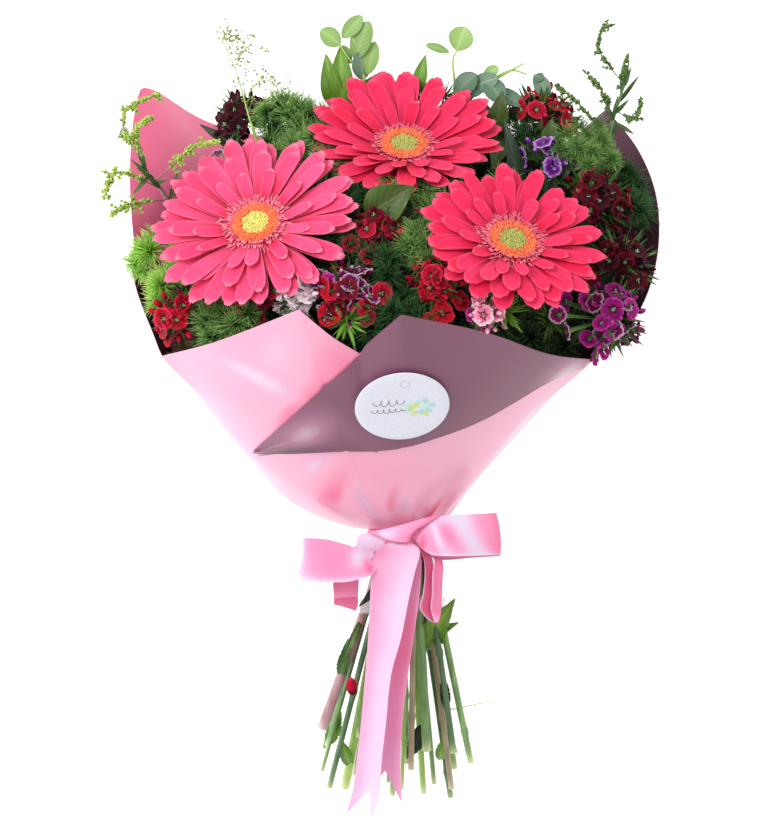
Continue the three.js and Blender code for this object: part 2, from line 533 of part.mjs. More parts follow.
function eucalyptus(e) {
  const curve = new THREE.CatmullRomCurve3(e.path);
  const leaves = [];
  for (let i = 0; i < e.pairs; i++) {
    const t = (i + 1) / e.pairs;
    const [p, along] = [curve.getPoint(t), curve.getTangent(t)];
    for (const side of [-1, 1]) {
      const out = V(side, 0, (chance(i * 3 + side) - 0.3) * 1.2).addScaledVector(along, 0.6).normalize();
      const up = V(chance(i + side * 7) - 0.5, chance(i + 4) - 0.5, 1.2).normalize();
      leaves.push(roundLeaf(p, out, e.leaf * (1.05 - 0.12 * i), up));
    }
  }
  return union([stalk(curve.getPoints(5), [1.7, 1.5, 1.3, 1.1, 1, 0.8], 4), ...leaves]);
}

// A knobbly arching branch: its radius swells at every bud.
function budded(from, to, rise, buds, thin, fat) {
  const middle = from.clone().lerp(to, 0.55).add(V(0, rise * 0.6, rise));
  const curve = new THREE.QuadraticBezierCurve3(from, middle, to);
  const points = curve.getPoints(2 * buds);
  return stalk(points, points.map((_, i) => (i % 2 ? fat : thin)), 3);
}

function goldenrod(g) {
  const curve = new THREE.QuadraticBezierCurve3(g.base, g.base.clone().lerp(g.top, 0.5).add(V(0, 4, 4)), g.top);
  const branches = g.tips.map((tip, i) => budded(curve.getPoint(0.25 + (0.75 * i) / (g.tips.length - 1)), tip, 9, 5, 0.8, 2.3));
  return union([stalk(curve.getPoints(4), [g.stem, 1.5, 1.4, 1.2, 1], 4), ...branches]);
}

function grass(g) {
  const curve = new THREE.QuadraticBezierCurve3(g.base, g.base.clone().lerp(g.top, 0.5).add(V(6, 0, 0)), g.top);
  const branches = Array.from({ length: g.branches }, (_, i) => {
    const from = curve.getPoint(0.2 + (0.72 * i) / g.branches);
    const side = i % 2 ? 1 : -1;
    const tip = from.clone().add(V(side * (20 - i), 17 - i * 0.8, 12 * (chance(i) - 0.4)));
    return budded(from, tip, 2, 3, 0.45, 1);
  });
  return union([stalk(curve.getPoints(6), [0.9, 0.8, 0.7, 0.6, 0.6, 0.5, 0.5], 4), ...branches]);
}

// ---------------------------------------------------------------- putting it together, each piece clear of the ones before
const bouquet = new THREE.Group();
const rooms = []; // the room taken so far: { owner, solid }

function clearOf(solid, owner) {
  const box = solid.boundingBox();
  const near = rooms.filter((r) => r.owner !== owner && [0, 1, 2].every((i) =>
    r.box.min[i] <= box.max[i] && r.box.max[i] >= box.min[i]));
  return near.length ? largest(solid.subtract(union(near.map((r) => r.solid)))) : solid;
}
const takeRoom = (owner, solid) => rooms.push({ owner, solid, box: solid.boundingBox() });

function add(name, solid, colour, roughness = 0.6) {
  const mesh = largest(solid.simplify(FINE)).getMesh();
  const geometry = new THREE.BufferGeometry();
  geometry.setAttribute('position', new THREE.BufferAttribute(Float32Array.from(mesh.vertProperties), 3));
  geometry.setIndex(new THREE.BufferAttribute(Uint32Array.from(mesh.triVerts), 1));
  geometry.computeVertexNormals();
  const material = new THREE.MeshStandardMaterial({ color: COLOURS[colour], roughness, metalness: 0 });
  const node = new THREE.Mesh(geometry, material);
  node.name = name;
  bouquet.add(node);
}

add('wrap_outer', outerSheet(), 'pinksheet', 0.4);
add('wrap_inner', innerSheet(), 'rosesheet', 0.45);
add('wrap_folded_front', foldedFront(), 'plumsheet', 0.45);
add('card', card(), 'card', 0.5);
add('ribbon', ribbon(), 'satin', 0.3);
add('binding_tape', bindingTape(), 'tape', 0.3);
takeRoom('wrap', outerSheet(-GAP, SHEET + GAP));
takeRoom('wrap', innerSheet(GAP));

// Stems first: each keeps its own line free.
const headBase = Object.fromEntries(GERBERAS.map((g) =>
  [g.name, g.at.clone().addScaledVector(g.facing.clone().normalize(), -11.6)]));
const williams = SWEET_WILLIAMS.map((s, i) => {
  const facing = s.at.clone().sub(HEART).normalize();
  return { ...s, key: 'sweet_william_' + (i + 1), facing, frame: facingFrame(s.at, facing) };
});
for (const w of williams) headBase[w.key] = w.at.clone().addScaledVector(w.facing, -0.7 * w.radius - GAP - 1);
for (const p of plants) {
  headBase[p.key] ??= p.at;
  takeRoom(p.key, stemOf(p.key, headBase[p.key], GAP));
}
for (const g of GERBERAS) {
  takeRoom(g.name, placed(gerberaRoom(g.radius), facingFrame(g.at, g.facing)));
}

for (const g of GERBERAS) {
  const frame = facingFrame(g.at, g.facing);
  const petals = clearOf(placed(gerberaPetals(g.radius), frame), g.name);
  add(g.name + '_petals', petals, 'coral');
  add(g.name + '_disc', placed(gerberaDisc(), frame), 'disc');
  add(g.name + '_stem', clearOf(stemOf(g.name, headBase[g.name]), g.name), 'stem');
}
for (const [i, w] of williams.entries()) {
  add(w.key + '_florets', clearOf(placed(sweetWilliamHead(w.radius, i), w.frame), w.key), w.colour);
  const ruff = placed(sweetWilliamRuff(w.radius, i), w.frame);
  add(w.key + '_stem', clearOf(union([ruff, stemOf(w.key, headBase[w.key])]), w.key), 'stem');
  const ball = new THREE.IcosahedronGeometry(w.radius * 1.05 + GAP, 1).translate(w.at.x, w.at.y, w.at.z);
  takeRoom(w.key, solidOf(ball));
}
function addFoliage(key, solid, colour) {
  const whole = clearOf(union([solid, stemOf(key, headBase[key])]), key);
  add(key, whole, colour);
  takeRoom(key, whole);
}
for (const l of LEAFY) {
  addFoliage(l.name, union(l.leaves.flatMap(([root, tip, width]) => [
    stalk([l.base, root], [1.2, 1], 4), leafBlade(root, tip, width)])), l.colour);
}
for (const e of EUCALYPTUS) addFoliage(e.name, eucalyptus(e), 'gum');
for (const g of GOLDENRODS) addFoliage(g.name, goldenrod(g), 'goldenrod');
addFoliage(GRASS.name, grass(GRASS), 'grass');
for (const [i, f] of FERNS.entries()) {
  const key = 'fern_' + (i + 1);
  const fork = f.tufts[0].clone().lerp(stemLine(plantOf(key), f.tufts[0])[2], 0.16);
  const frond = union([...f.tufts.map((t, k) => tuft(t, i * 10 + k)),
    ...f.tufts.slice(1).map((t) => stalk([fork, t], [1, 0.8], 3))]);
  addFoliage(key, frond, f.colour);
}

export default bouquet;
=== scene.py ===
"""A hand-tied bouquet in a two-tone wrapping sheet, tied with satin ribbon and lying on its back.

Metres. +Z is up from the table, +Y runs from the cut stems to the flower heads, +X is the bouquet's right.
"""
import math

import bpy
import numpy as np
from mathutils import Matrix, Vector


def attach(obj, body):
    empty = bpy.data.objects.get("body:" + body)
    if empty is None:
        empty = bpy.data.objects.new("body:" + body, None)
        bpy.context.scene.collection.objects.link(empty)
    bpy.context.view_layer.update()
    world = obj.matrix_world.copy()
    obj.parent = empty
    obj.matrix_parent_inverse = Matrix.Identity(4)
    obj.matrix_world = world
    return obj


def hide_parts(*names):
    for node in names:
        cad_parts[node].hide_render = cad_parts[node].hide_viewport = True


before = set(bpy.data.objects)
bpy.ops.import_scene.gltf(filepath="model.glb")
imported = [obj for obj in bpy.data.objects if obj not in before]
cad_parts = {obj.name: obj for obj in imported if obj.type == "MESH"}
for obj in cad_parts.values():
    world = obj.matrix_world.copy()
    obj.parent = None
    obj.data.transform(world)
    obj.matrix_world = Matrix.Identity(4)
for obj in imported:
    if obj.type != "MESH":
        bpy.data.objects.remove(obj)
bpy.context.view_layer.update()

MM = 0.001
DEG = math.pi / 180
GOLDEN = math.pi * (3 - math.sqrt(5))  # the turn between neighbours in a natural spiral


def mm(*values):
    """Millimetres as an array in metres."""
    return np.array(values, float) * MM


# --- where things stand
TIE = mm(14.6, -67, 71)  # middle of the binding point, where every stem passes
HEART = mm(6, 20, 95)  # the flower heads face away from this point inside the bouquet
NECK = 18.6 * MM  # inner radius of the outer sheet where the ribbon gathers it
SHEET = 1 * MM  # room that one layer of the wrapping takes
FILM = 0.35 * MM  # thickness of the film itself
GAP = 0.45 * MM  # room left between pieces that lie against each other
SKIRT = 12 * MM  # the sheets reach this far past the tie, towards the stems

# The outer sheet's rim, from its right tip round the bouquet's right side, its back and its left to the notch
# in front, and the numbers of its corners.
RIM = mm(
    (12, 48, 222), (56, 39, 205), (89, 28, 180), (115, 25, 150), (140, 50, 131), (152, 81, 112),
    (153, 114, 95), (144, 142, 75), (127, 167, 50), (100, 148, 20), (55, 146, -8), (14.6, 147, -12),
    (-40, 147, -8), (-85, 140, 12), (-112, 140, 48), (-130, 105, 82), (-134, 73, 112), (-121, 37, 138),
    (-117, 28, 150), (-85, 36, 185), (-42, 52, 216), (-25, 38, 205), (-10, 29, 196), (0, 38, 208))
RIM_CORNERS = (0, 3, 8, 18, 20, 22, 24)
# Degrees round the axis and shares of the way from tie to rim, along the fold and along the free edge of the
# front.
FOLD = ((-54, 0.45), (-11, 0.985))
FREE_EDGE = ((-54, 0.43), (-40, 0.405), (-22, 0.364), (-11.5, 0.45), (0, 0.396), (15, 0.488), (26, 0.598),
             (34, 0.726), (41, 0.856), (50, 0.965))
# Painted highlights (+) and painted shade (-) on the outer film, where it is paler or deeper than its own
# colour:
# degrees round the axis, reach, width in degrees, length in reach, slant in degrees for each unit of reach,
# amount, and the side that ends sharply, if any. The flap's painted highlights and painted shade are listed
# alike.
FILM_PAINTED_LIGHT_AND_SHADE = (
    (-37, 0.8, 4, 0.2, -48, 0.34, 1), (-54, 0.74, 3, 0.3, 0, 0.16, 0), (-17, 0.82, 6, 0.22, 24, -0.4, 0),
    (-33, 0.6, 8, 0.07, 90, -0.4, -1), (-28, 0.86, 10, 0.16, 0, 0.28, 0), (-47, 0.76, 5, 0.2, -20, -0.1, 0),
    (-36, 0.335, 5, 0.035, 120, 0.4, 0), (-36, 0.19, 9, 0.08, 100, -0.4, 1), (-24, 0.12, 3, 0.07, 0, 0.35, 1),
    (26, 0.1, 9, 0.09, 60, -0.5, -1), (50, 0.58, 4, 0.25, 0, 0.5, 0), (-10, 0.16, 5, 0.06, 40, -0.32, -1),
    (1, 0.11, 5, 0.05, -60, 0.28, 0), (40, 0.5, 9, 0.2, 0, -0.1, 0), (-10, 0.3, 30, 0.1, 0, -0.06, 0),
    (90, 0.5, 8, 0.3, 0, -0.2, 1), (120, 0.5, 6, 0.3, 20, 0.35, 0), (160, 0.4, 8, 0.2, 0, -0.25, 1),
    (200, 0.55, 5, 0.35, -20, 0.35, 0), (238, 0.5, 7, 0.2, 0, -0.25, -1), (275, 0.6, 4, 0.3, 0, 0.3, 0))
FLAP_PAINTED_LIGHT_AND_SHADE = ((47, 0.88, 7, 0.14, 0, 0.5, 0), (-31, 0.48, 9, 0.07, 30, 0.3, 0),
               (-10, 0.6, 9, 0.3, 0, 0.05, 0))
SHARP = 0.45  # a painted highlight's or painted shade's width on its sharp side, as a share of its own
FLAP_TOP = 1.01  # right of the fold's corner, the flap rolls over just above the rim
# The free end of the outer film laps over it at the lower left: reach and degrees along that seam.
SEAM = ((-0.02, -25), (0.035, -34), (0.081, -42.7), (0.144, -47.5), (0.225, -51), (0.42, -56))
OVERLAP = 30 * DEG  # how far round the lapped end runs on over the sheet
# Slack in the outer sheet at its lower left, and the degrees over which its opening is evened out.
SLACK = {"degrees": -88, "width": 26, "reach": 0.12, "length": 0.1, "height": 4.5 * MM}
EVENING = 30
# Soft ridges of the sheet that run up from the tie: degrees round the axis, width, height and how far they
# reach.
PLEATS = ((-74, 7, 2.4, 0.6), (-48, 6, 1.8, 0.36), (-30, 5, 2.0, 0.34), (-12, 5, 1.6, 0.33),
          (8, 6, 2.2, 0.34), (27, 5, 1.8, 0.36), (46, 7, 2.2, 0.5), (70, 8, 1.8, 0.7), (105, 8, 2.4, 0.6),
          (140, 7, 1.8, 0.5), (180, 9, 1.2, 0.4), (215, 7, 2.0, 0.5), (250, 8, 2.2, 0.6))
# The inner sheet: the angles of its ends and of its standing corner, the reach of its rim and of that corner,
# the widths of the corner's two slopes, how far it lies inside the outer sheet, and how far the corner leans.
INNER = {"from": 165 * DEG, "to": 290 * DEG, "corner": 260 * DEG, "rim": 0.97, "reach": 1.19,
         "front": 28 * DEG, "back": 50 * DEG, "inward": 2.8 * SHEET, "lean": 12 * MM}
# The card: where its middle is, its size, how far it stands off, its punched eye, and the petals
# of its printed posy, in millimetres.
CARD = {"angle": -1 * DEG, "reach": 0.59, "radius": 25.5 * MM, "thickness": 0.6 * MM, "stand": 5 * MM,
        "eye_up": 17 * MM, "eye": 2.6 * MM, "rim": 0.25 * MM, "petals": 13, "petal": 4.2,
        "petal_width": 3.2}

KNOT = mm(17, -74, 99)  # middle of the bow's knot
SATIN = 0.3 * MM  # thickness of the ribbon

# Gerberas: the middle of the head, the way it faces, its radius, the length of stem below the tie in
# millimetres, how steeply its petals rise, and its colours.
GERBERAS = [
    {"name": "gerbera_left", "at": mm(-65.5, 97, 165), "facing": (-0.2, 0.56, 0.8), "radius": 57 * MM,
     "cut": 146, "cup": 0.17, "tone": "rose", "stem": "pale"},
    {"name": "gerbera_top", "at": mm(14, 141, 118), "facing": (0.02, 0.76, 0.65), "radius": 53.5 * MM,
     "cut": 118, "cup": 0.35, "tone": "coral", "stem": "green"},
    {"name": "gerbera_right", "at": mm(71, 87, 188), "facing": (0.2, 0.65, 0.73), "radius": 50.5 * MM,
     "cut": 124, "cup": 0.18, "tone": "coral", "stem": "green"},
]
# Heads whose florets differ in colour: number of the head and its florets' colours in turn.
MIXED = {2: ("crimson", "darkred", "red"), 4: ("darkred", "burgundy", "darkred", "crimson"),
         5: ("burgundy", "darkred", "burgundy"), 6: ("magenta", "magenta", "plum"), 7: ("red", "crimson"),
         8: ("plum", "crimson", "plum", "red", "darkred"), 10: ("darkred", "crimson"), 12: ("red", "crimson"),
         13: ("crimson", "darkred", "red")}
# Sweet williams: colour, middle of the head, its radius and the length of stem below the tie, in millimetres.
SWEET_WILLIAMS = [
    ("burgundy", mm(-74, 158, 84), 17, 140), ("crimson", mm(89, 158, 84), 21, 152),
    ("violet", mm(90, 134, 122), 14, 120), ("darkred", mm(117, 112, 128), 21, 146),
    ("burgundy", mm(131, 78, 142), 19, 131), ("magenta", mm(124, 48, 164), 19, 125),
    ("red", mm(31, 65, 192), 15, 149), ("plum", mm(-17, 60, 190), 18, 137),
    ("white", mm(-43, 58, 188), 12, 116), ("darkred", mm(0, 95, 170), 14, 128),
    ("blush", mm(58, 50, 203), 10, 134), ("red", mm(-109, 49, 160), 13, 122),
    ("red", mm(-70, 62, 172), 13, 145), ("burgundy", mm(8, 160, 62), 20, 133),
]
# Florets that stray from their heads: number of the head, colour and place.
STRAYS = [
    (1, "plum", mm(-89, 137, 128)), (1, "burgundy", mm(-84, 131, 131)), (6, "plum", mm(101, 41, 186)),
    (6, "plum", mm(96, 50, 184)), (6, "magenta", mm(121, 32, 163)), (6, "magenta", mm(128, 40, 158)),
    (6, "magenta", mm(113, 37, 171)), (6, "magenta", mm(134, 54, 156)), (6, "magenta", mm(112, 57, 172)),
    (7, "crimson", mm(25, 80, 186)), (7, "crimson", mm(34, 76, 190)), (7, "darkred", mm(44, 73, 192)),
    (7, "red", mm(29, 61, 199)), (7, "red", mm(28, 46, 203)), (7, "red", mm(34, 50, 202)),
    (8, "red", mm(-26, 50, 200)), (8, "crimson", mm(-6, 54, 200)), (8, "crimson", mm(-6, 48, 200)),
    (8, "crimson", mm(2, 61, 196)), (8, "plum", mm(-32, 69, 194)), (8, "magenta", mm(-27, 67, 196)),
    (8, "plum", mm(-11, 64, 196)), (8, "crimson", mm(-23, 59, 199)), (8, "crimson", mm(-14, 57, 199)),
    (10, "crimson", mm(-3, 95, 178)), (10, "crimson", mm(7, 96, 178)), (10, "crimson", mm(11, 98, 177)),
    (10, "darkred", mm(0, 101, 176)), (10, "crimson", mm(-15, 88, 182)), (10, "crimson", mm(-5, 81, 186)),
    (10, "darkred", mm(-34, 84, 180)), (11, "blush", mm(61, 70, 210)), (11, "blush", mm(67, 66, 208)),
    (11, "magenta", mm(51, 49, 203)), (11, "magenta", mm(57, 46, 202)), (12, "magenta", mm(-113, 44, 156)),
    (12, "red", mm(-104, 56, 166)), (12, "red", mm(-108, 51, 165)), (13, "crimson", mm(-49, 70, 186)),
    (13, "crimson", mm(-55, 63, 188)), (13, "darkred", mm(-61, 58, 186)), (13, "darkred", mm(-59, 72, 182)),
    (13, "red", mm(-73, 57, 178)), (13, "red", mm(-78, 52, 176)),
]
# Gaps between the heads that get florets too: places tried over the dome, their depth as a share of its
# height, how far the head may be, and from where on the right no place is left out.
GAP_FLORETS = {"tries": 560, "depth": 0.97, "near": 30 * MM, "right": 84 * MM}
FLORET = 6.5 * MM  # radius of a sweet william's floret
# Heads of sweet william: how crowded the florets are, the buds and their size, and the green bristles.
HEAD = {"crowding": 3.4, "buds": 12, "bud": 5 * MM, "bristles": 60}
# Ferns: colour, where the tufts stand and the length of stem below the tie.
FERNS = [
    ("fern", mm((-40, 148, 118), (-53, 166, 100), (-28, 134, 142), (-46, 142, 124), (-30, 151, 118),
                (-38, 160, 108), (-22, 141, 130)), 130),
    ("lime", mm((-127, 86, 134), (-117, 66, 152), (-106, 84, 150)), 124),
    ("fern", mm((38, 104, 172), (14, 122, 158), (26, 86, 186)), 146),
    ("deepgreen", mm((-18, 110, 166), (-26, 88, 178), (6, 78, 188)), 138),
    ("fern", mm((-92, 46, 168), (-76, 45, 178), (-90, 66, 160)), 136),
    ("deepgreen", mm((8, 50, 198), (-3, 42, 196), (24, 44, 200)), 141),
    ("deepgreen", mm((135, 128, 104), (141, 112, 116)), 127),
]
# More needle tufts in gaps between the heads.
FILLERS = mm(
    (78, 152, 94), (84, 142, 106), (70, 161, 92), (86, 149, 104), (92, 149, 98), (74, 136, 110),
    (82, 150, 98), (95, 146, 104), (76, 146, 104), (-48, 160, 110), (-36, 158, 112), (-30, 146, 126),
    (-44, 140, 130), (-24, 150, 118), (-58, 152, 110), (-60, 145, 116), (24, 176, 84), (36, 172, 88))
NEEDLE = 11 * MM  # usual length of a fern needle
# Tufts of a fern: how many needles its own have, and the smaller ones at their sides.
TUFT = {"needles": 190, "sides": 6, "side_needles": 110, "side_length": 0.9 * NEEDLE}
# Tufts that fill the gaps under the heads: places tried over the dome, their depth as a share of its height,
# their needles and the needles' length.
UPPER_TUFTS = {"tries": 520, "depth": 0.88, "needles": 80, "length": NEEDLE}
DEEP_TUFTS = {"tries": 460, "depth": 0.76, "needles": 46, "length": 13 * MM}
# Tufts below this height fill the back of the wrap. Their needles are longer, and the upper ones have more.
BACK_TUFTS = {"below": 80 * MM, "length": 17 * MM, "needles": 130}
# Tufts on the leafy shoots of a goldenrod.
SHOOT = {"needles": 26, "length": 6.5 * MM, "widest": 110 * DEG}
# Needles keep clear of the petals of a gerbera this far below and above them.
PETAL_ROOM = (5 * MM, 16 * MM)
# Places on the dome of the flowers where no head stands: along the back, and in front at the right and left.
DOME_MARKS = mm((60, 150, 30), (-60, 150, 30), (0, 158, 10), (110, 145, 50), (-100, 138, 70), (95, 40, 160),
                (-115, 60, 110))
# The dome between the heads: how far down it is followed, how near a head or mark has to be, and how sharply
# the nearest ones count.
DOME = {"lowest": -0.25, "near": 26 * DEG, "sharp": 0.02}
# Rings of ray petals from below: how many, their share of the radius, width and start in millimetres, how
# much steeper than the cup they rise, their height in millimetres and their turn in petals.
PETAL_RINGS = ((19, 1.0, 11.5, 13, 0.0, 0.0, 0.0), (18, 0.98, 11, 13, 0.06, 1.1, 0.5),
               (15, 0.84, 10, 12.5, 0.12, 2.0, 0.25), (12, 0.6, 7.5, 12, 0.24, 2.8, 0.7))
# How wide a ray petal is, as shares of its width, at shares of its length.
PETAL_OUTLINE = ((0, 0.4), (0.22, 0.68), (0.45, 0.9), (0.7, 1), (0.86, 0.92), (0.95, 0.7), (1, 0.3))
# A gerbera's disc: its buds, their circle and dome, and inside what radius they are still closed.
DISC = {"buds": 560, "radius": 12.2 * MM, "height": 4.6 * MM, "dome": 1.2 * MM, "dimple": 0.9 * MM,
        "closed": 7.4 * MM, "closed_bud": 1.7 * MM, "open_bud": 2.5 * MM}
# The green cup under the disc: heights and radii in millimetres, and its scales.
CUP_PROFILE = ((-10.5, 2.5), (-9.3, 4.5), (-5.7, 7.5), (-1.5, 10.5), (1.5, 11.2))
CUP_SCALES = {"count": 34, "ring": 8 * MM, "foot": -7 * MM, "step": 3 * MM, "length": 9 * MM}
# Rings of the thin florets round the disc: how many, where they start and how long they are in millimetres,
# and how they lift.
TRANS_RINGS = ((140, 9.8, 5.8, 1.0), (140, 11.2, 7.2, 0.62), (120, 13.0, 9.0, 0.3))
# Leafy stems: where the stem ends, the length below the tie, the tone, and each leaf's root, tip and width.
LEAFY = [
    {"name": "leafy_stem_middle", "base": mm(2, 98, 150), "cut": 126, "tone": "olive",
     "leaves": [(mm(-7, 103, 170), mm(19, 119, 178), 22), (mm(4, 98, 158), mm(26, 96, 186), 13)]},
    {"name": "leafy_stem_top", "base": mm(-22, 162, 84), "cut": 148, "tone": "bright",
     "leaves": [(mm(-24, 165, 86), mm(-29, 195, 92), 12), (mm(-20, 165, 88), mm(-21, 200, 90), 13),
                (mm(-18, 164, 84), mm(2, 186, 84), 9), (mm(20, 172, 84), mm(26, 195, 86), 8)]},
    {"name": "leafy_stem_right", "base": mm(66, 148, 92), "cut": 144, "tone": "olive",
     "leaves": [(mm(64, 150, 96), mm(68, 174, 104), 12), (mm(68, 148, 98), mm(62, 130, 122), 13),
                (mm(92, 140, 118), mm(95, 158, 122), 10)]},
]
# Eucalyptus: the twig, its side twigs, and where each leaf is rooted, its tip, its width and its tone.
EUCALYPTUS = [
    {"name": "eucalyptus_left", "path": mm((-8, 160, 84), (-8, 182, 88), (-14, 204, 92)), "cut": 112,
     "twigs": [mm((-8, 182, 88), (-16, 192, 92), (-22, 201, 94)), mm((-12, 198, 91), (-15, 206, 92))],
     "leaves": [(mm(-21, 200, 94), mm(-32, 208, 98), 11, 0), (mm(-20, 204, 92), mm(-9, 216, 95), 9, 0),
                (mm(-13, 192, 90), mm(-5, 213, 95), 13, 0), (mm(-9, 181, 88), mm(-10, 197, 92), 12, 1),
                (mm(-6, 184, 89), mm(-2, 202, 93), 9, 0), (mm(-16, 190, 88), mm(-20, 200, 90), 7, 0)]},
    {"name": "eucalyptus_right", "path": mm((44, 162, 84), (56, 176, 88), (80, 190, 92)), "cut": 150,
     "twigs": [mm((44, 162, 84), (42, 180, 88), (41, 192, 91), (44, 198, 92)),
               mm((58, 178, 88), (72, 186, 90), (82, 184, 92))],
     "leaves": [(mm(43, 197, 92), mm(48, 210, 95), 14, 0), (mm(39, 196, 92), mm(26, 200, 96), 5, 0),
                (mm(42, 172, 90), mm(54, 184, 94), 13, 1), (mm(50, 176, 90), mm(66, 182, 96), 11, 1),
                (mm(60, 182, 92), mm(68, 168, 100), 12, 1), (mm(56, 180, 88), mm(49, 171, 96), 11, 1),
                (mm(62, 176, 88), mm(80, 166, 98), 10, 1), (mm(86, 184, 92), mm(94, 172, 96), 9, 1),
                (mm(86, 183, 92), mm(91, 181, 95), 6, 1), (mm(58, 182, 90), mm(66, 188, 94), 7, 0)]},
]
# Goldenrod: its stem, its twigs from the lowest, each with a point it bends through, and its leafy shoots.
GOLDENRODS = [
    {"name": "goldenrod_left", "base": mm(-112, 108, 112), "top": mm(-129, 132, 134), "cut": 114, "stem": 2.8,
     "tips": mm((-145, 105, 135), (-149, 114, 140), (-87, 144, 155), (-124, 157, 148), (-119, 171, 138)),
     "via": mm((-134, 111, 134), (-141, 128, 142), (-101, 140, 152), (-132, 148, 146), (-139, 158, 140)),
     "buds": 170, "bud": 1.7, "side_twigs": 16, "spread": 6, "skin": "mauve", "shoots": []},
    {"name": "goldenrod_right", "base": mm(124, 140, 98), "top": mm(134, 176, 128), "cut": 135, "stem": 1.7,
     "tips": mm((97, 175, 132), (112, 184, 128), (143, 169, 124), (136, 192, 120), (125, 211, 124)),
     "via": mm((108, 167, 132), (122, 172, 131), (139, 157, 130), (133, 182, 127), (120, 196, 129)),
     "buds": 110, "bud": 1.6, "side_twigs": 9, "spread": 5.5, "skin": "green",
     "shoots": mm((101, 151, 126), (107, 143, 134), (116, 140, 132), (122, 148, 124), (128, 136, 126),
                  (113, 132, 136), (99, 141, 132), (110, 156, 118), (120, 156, 116))},
]
GRASS = {"name": "panicum_grass", "base": mm(-70, 156, 112), "top": mm(-95, 220, 120), "cut": 151,
         "twigs": 32, "limit": 224 * MM}
# A stem whose cut end lies across the rest, a bud left on a stem below the tie, and an awn that sticks out.
ENDS = {"goldenrod_left": mm(-31.5, -178.6, 58)}
LOWER_BUD = {"head": 13, "at": mm(-14.5, -159, 72), "way": (-0.1, 1.0, 0.2), "size": 10 * MM}
AWN = mm((40, -168, 44), (43.5, -168, 46), (56, -165, 48), (67, -164, 46))
# Stars of bright green bracts: the head's number and their place. Then the rays of a star and their length.
BRACT_STARS = [(11, mm(67, 51, 198)), (8, mm(-17, 46, 196))]
STAR = {"rays": 34, "length": 15 * MM}
# Leaves on the stems below the tie: the plant, how far up its stem is the root (y), the tip, width and kind.
LOWER_LEAVES = [
    ("leafy_stem_right", -134, mm(42, -106, 78), 13, "bright"),
    ("leafy_stem_right", -128, mm(44, -119, 74), 8, "bright"),
    ("goldenrod_left", -117, mm(-21, -143, 72), 3.5, "bright"),
    ("goldenrod_left", -150, mm(-17, -128, 70), 6, "bright"),
    ("sweet_william_12", -190, mm(-21, -170, 34), 7, "bright"),
    ("sweet_william_13", -186, mm(-16, -200, 30), 6, "bright"),
    ("sweet_william_3", -176, mm(16, -196, 42), 8, "shade"),
    ("sweet_william_4", -185, mm(34, -197, 36), 6, "bright"),
    ("fern_1", -89, mm(-10.5, -109, 97), 8, "shade"),
    ("sweet_william_6", -150, mm(38, -168, 50), 5, "shade"),
]
# The first seed of the random draws of each kind of plant.
SEEDS = {"gerbera": 10, "grass": 77, "sweet_william": 100, "fern": 200, "leafy_stem": 300, "goldenrod": 500}


# --- small geometry
def unit(v):
    """Vectors scaled to a length of one."""
    v = np.asarray(v, float)
    return v / np.maximum(np.linalg.norm(v, axis=-1, keepdims=True), 1e-12)


def ease(x):
    """0 to 1 with a soft start and a soft end."""
    x = np.clip(x, 0, 1)
    return x * x * (3 - 2 * x)


def mound(x, middle, width):
    """1 at the middle, and softly down to 0 on both sides."""
    return np.exp(-((x - middle) / width) ** 2)


def circle(count):
    """Angles evenly round a circle."""
    return np.linspace(0, 2 * np.pi, count + 1)[:-1]


def through(points, count):
    """Evenly counted points on a smooth curve through a few given ones."""
    p = np.asarray(points, float)
    p = np.vstack([2 * p[:1] - p[1:2], p, 2 * p[-1:] - p[-2:-1]])
    t = np.linspace(0, len(p) - 3, count)
    i = np.minimum(t.astype(int), len(p) - 4)
    u = (t - i)[:, None]
    a, b, c, d = p[i], p[i + 1], p[i + 2], p[i + 3]
    return 0.5 * (2 * b + (c - a) * u + (2 * a - 5 * b + 4 * c - d) * u**2 + (3 * b - a - 3 * c + d) * u**3)


def points_at(wanted, given, points):
    """Points of a line where a measure given at each of its points has the wanted values."""
    return np.stack([np.interp(wanted, given, np.asarray(points)[:, k]) for k in range(3)], axis=-1)


def degrees_off(angle, degrees):
    """How many degrees an angle is past a direction, from -180 to 180."""
    return np.mod(angle / DEG - degrees + 180, 360) - 180


def headings(points):
    """The direction of a curve at each of its points."""
    return unit(np.gradient(points, axis=0))


def facing_axes(facing, spin=0.0):
    """Three axes, as rows, of what faces along a direction and is turned about it. Takes one or many."""
    z = unit(facing)
    aside = np.where(np.abs(z[..., 2:3]) < 0.9, (0.0, 0.0, 1.0), (1.0, 0.0, 0.0))
    x = unit(np.cross(aside, z))
    y = np.cross(z, x)
    c, s = (np.asarray(f(spin))[..., None] for f in (np.cos, np.sin))
    return np.stack([c * x + s * y, c * y - s * x, z], axis=-2)


def fan(count, widest, luck, jitter):
    """Directions spread evenly over a cap round +Z, out to the widest angle."""
    share = (np.arange(count) + 0.5) / count
    height = 1 - share * (1 - math.cos(widest))
    around = GOLDEN * np.arange(count) + luck.uniform(0, 6)
    flat = np.sqrt(1 - height**2)
    spread = np.stack([flat * np.cos(around), flat * np.sin(around), height], axis=1)
    return unit(spread + luck.normal(0, jitter, spread.shape))


def quads(rows, columns, closed):
    """The faces of a grid of points. A closed one joins its last column to its first."""
    i, j = np.meshgrid(np.arange(rows - 1), np.arange(columns if closed else columns - 1), indexing="ij")
    i, j = i.ravel(), j.ravel()
    k = (j + 1) % columns
    return np.stack([i * columns + j, i * columns + k, (i + 1) * columns + k, (i + 1) * columns + j], axis=1)


def grid_normals(grid, closed=False):
    """The way out of a grid of points at each of them."""
    down = np.gradient(grid, axis=0)
    if closed:
        over = np.roll(grid, -1, axis=1) - np.roll(grid, 1, axis=1)
    else:
        over = np.gradient(grid, axis=1)
    return unit(np.cross(over, down))


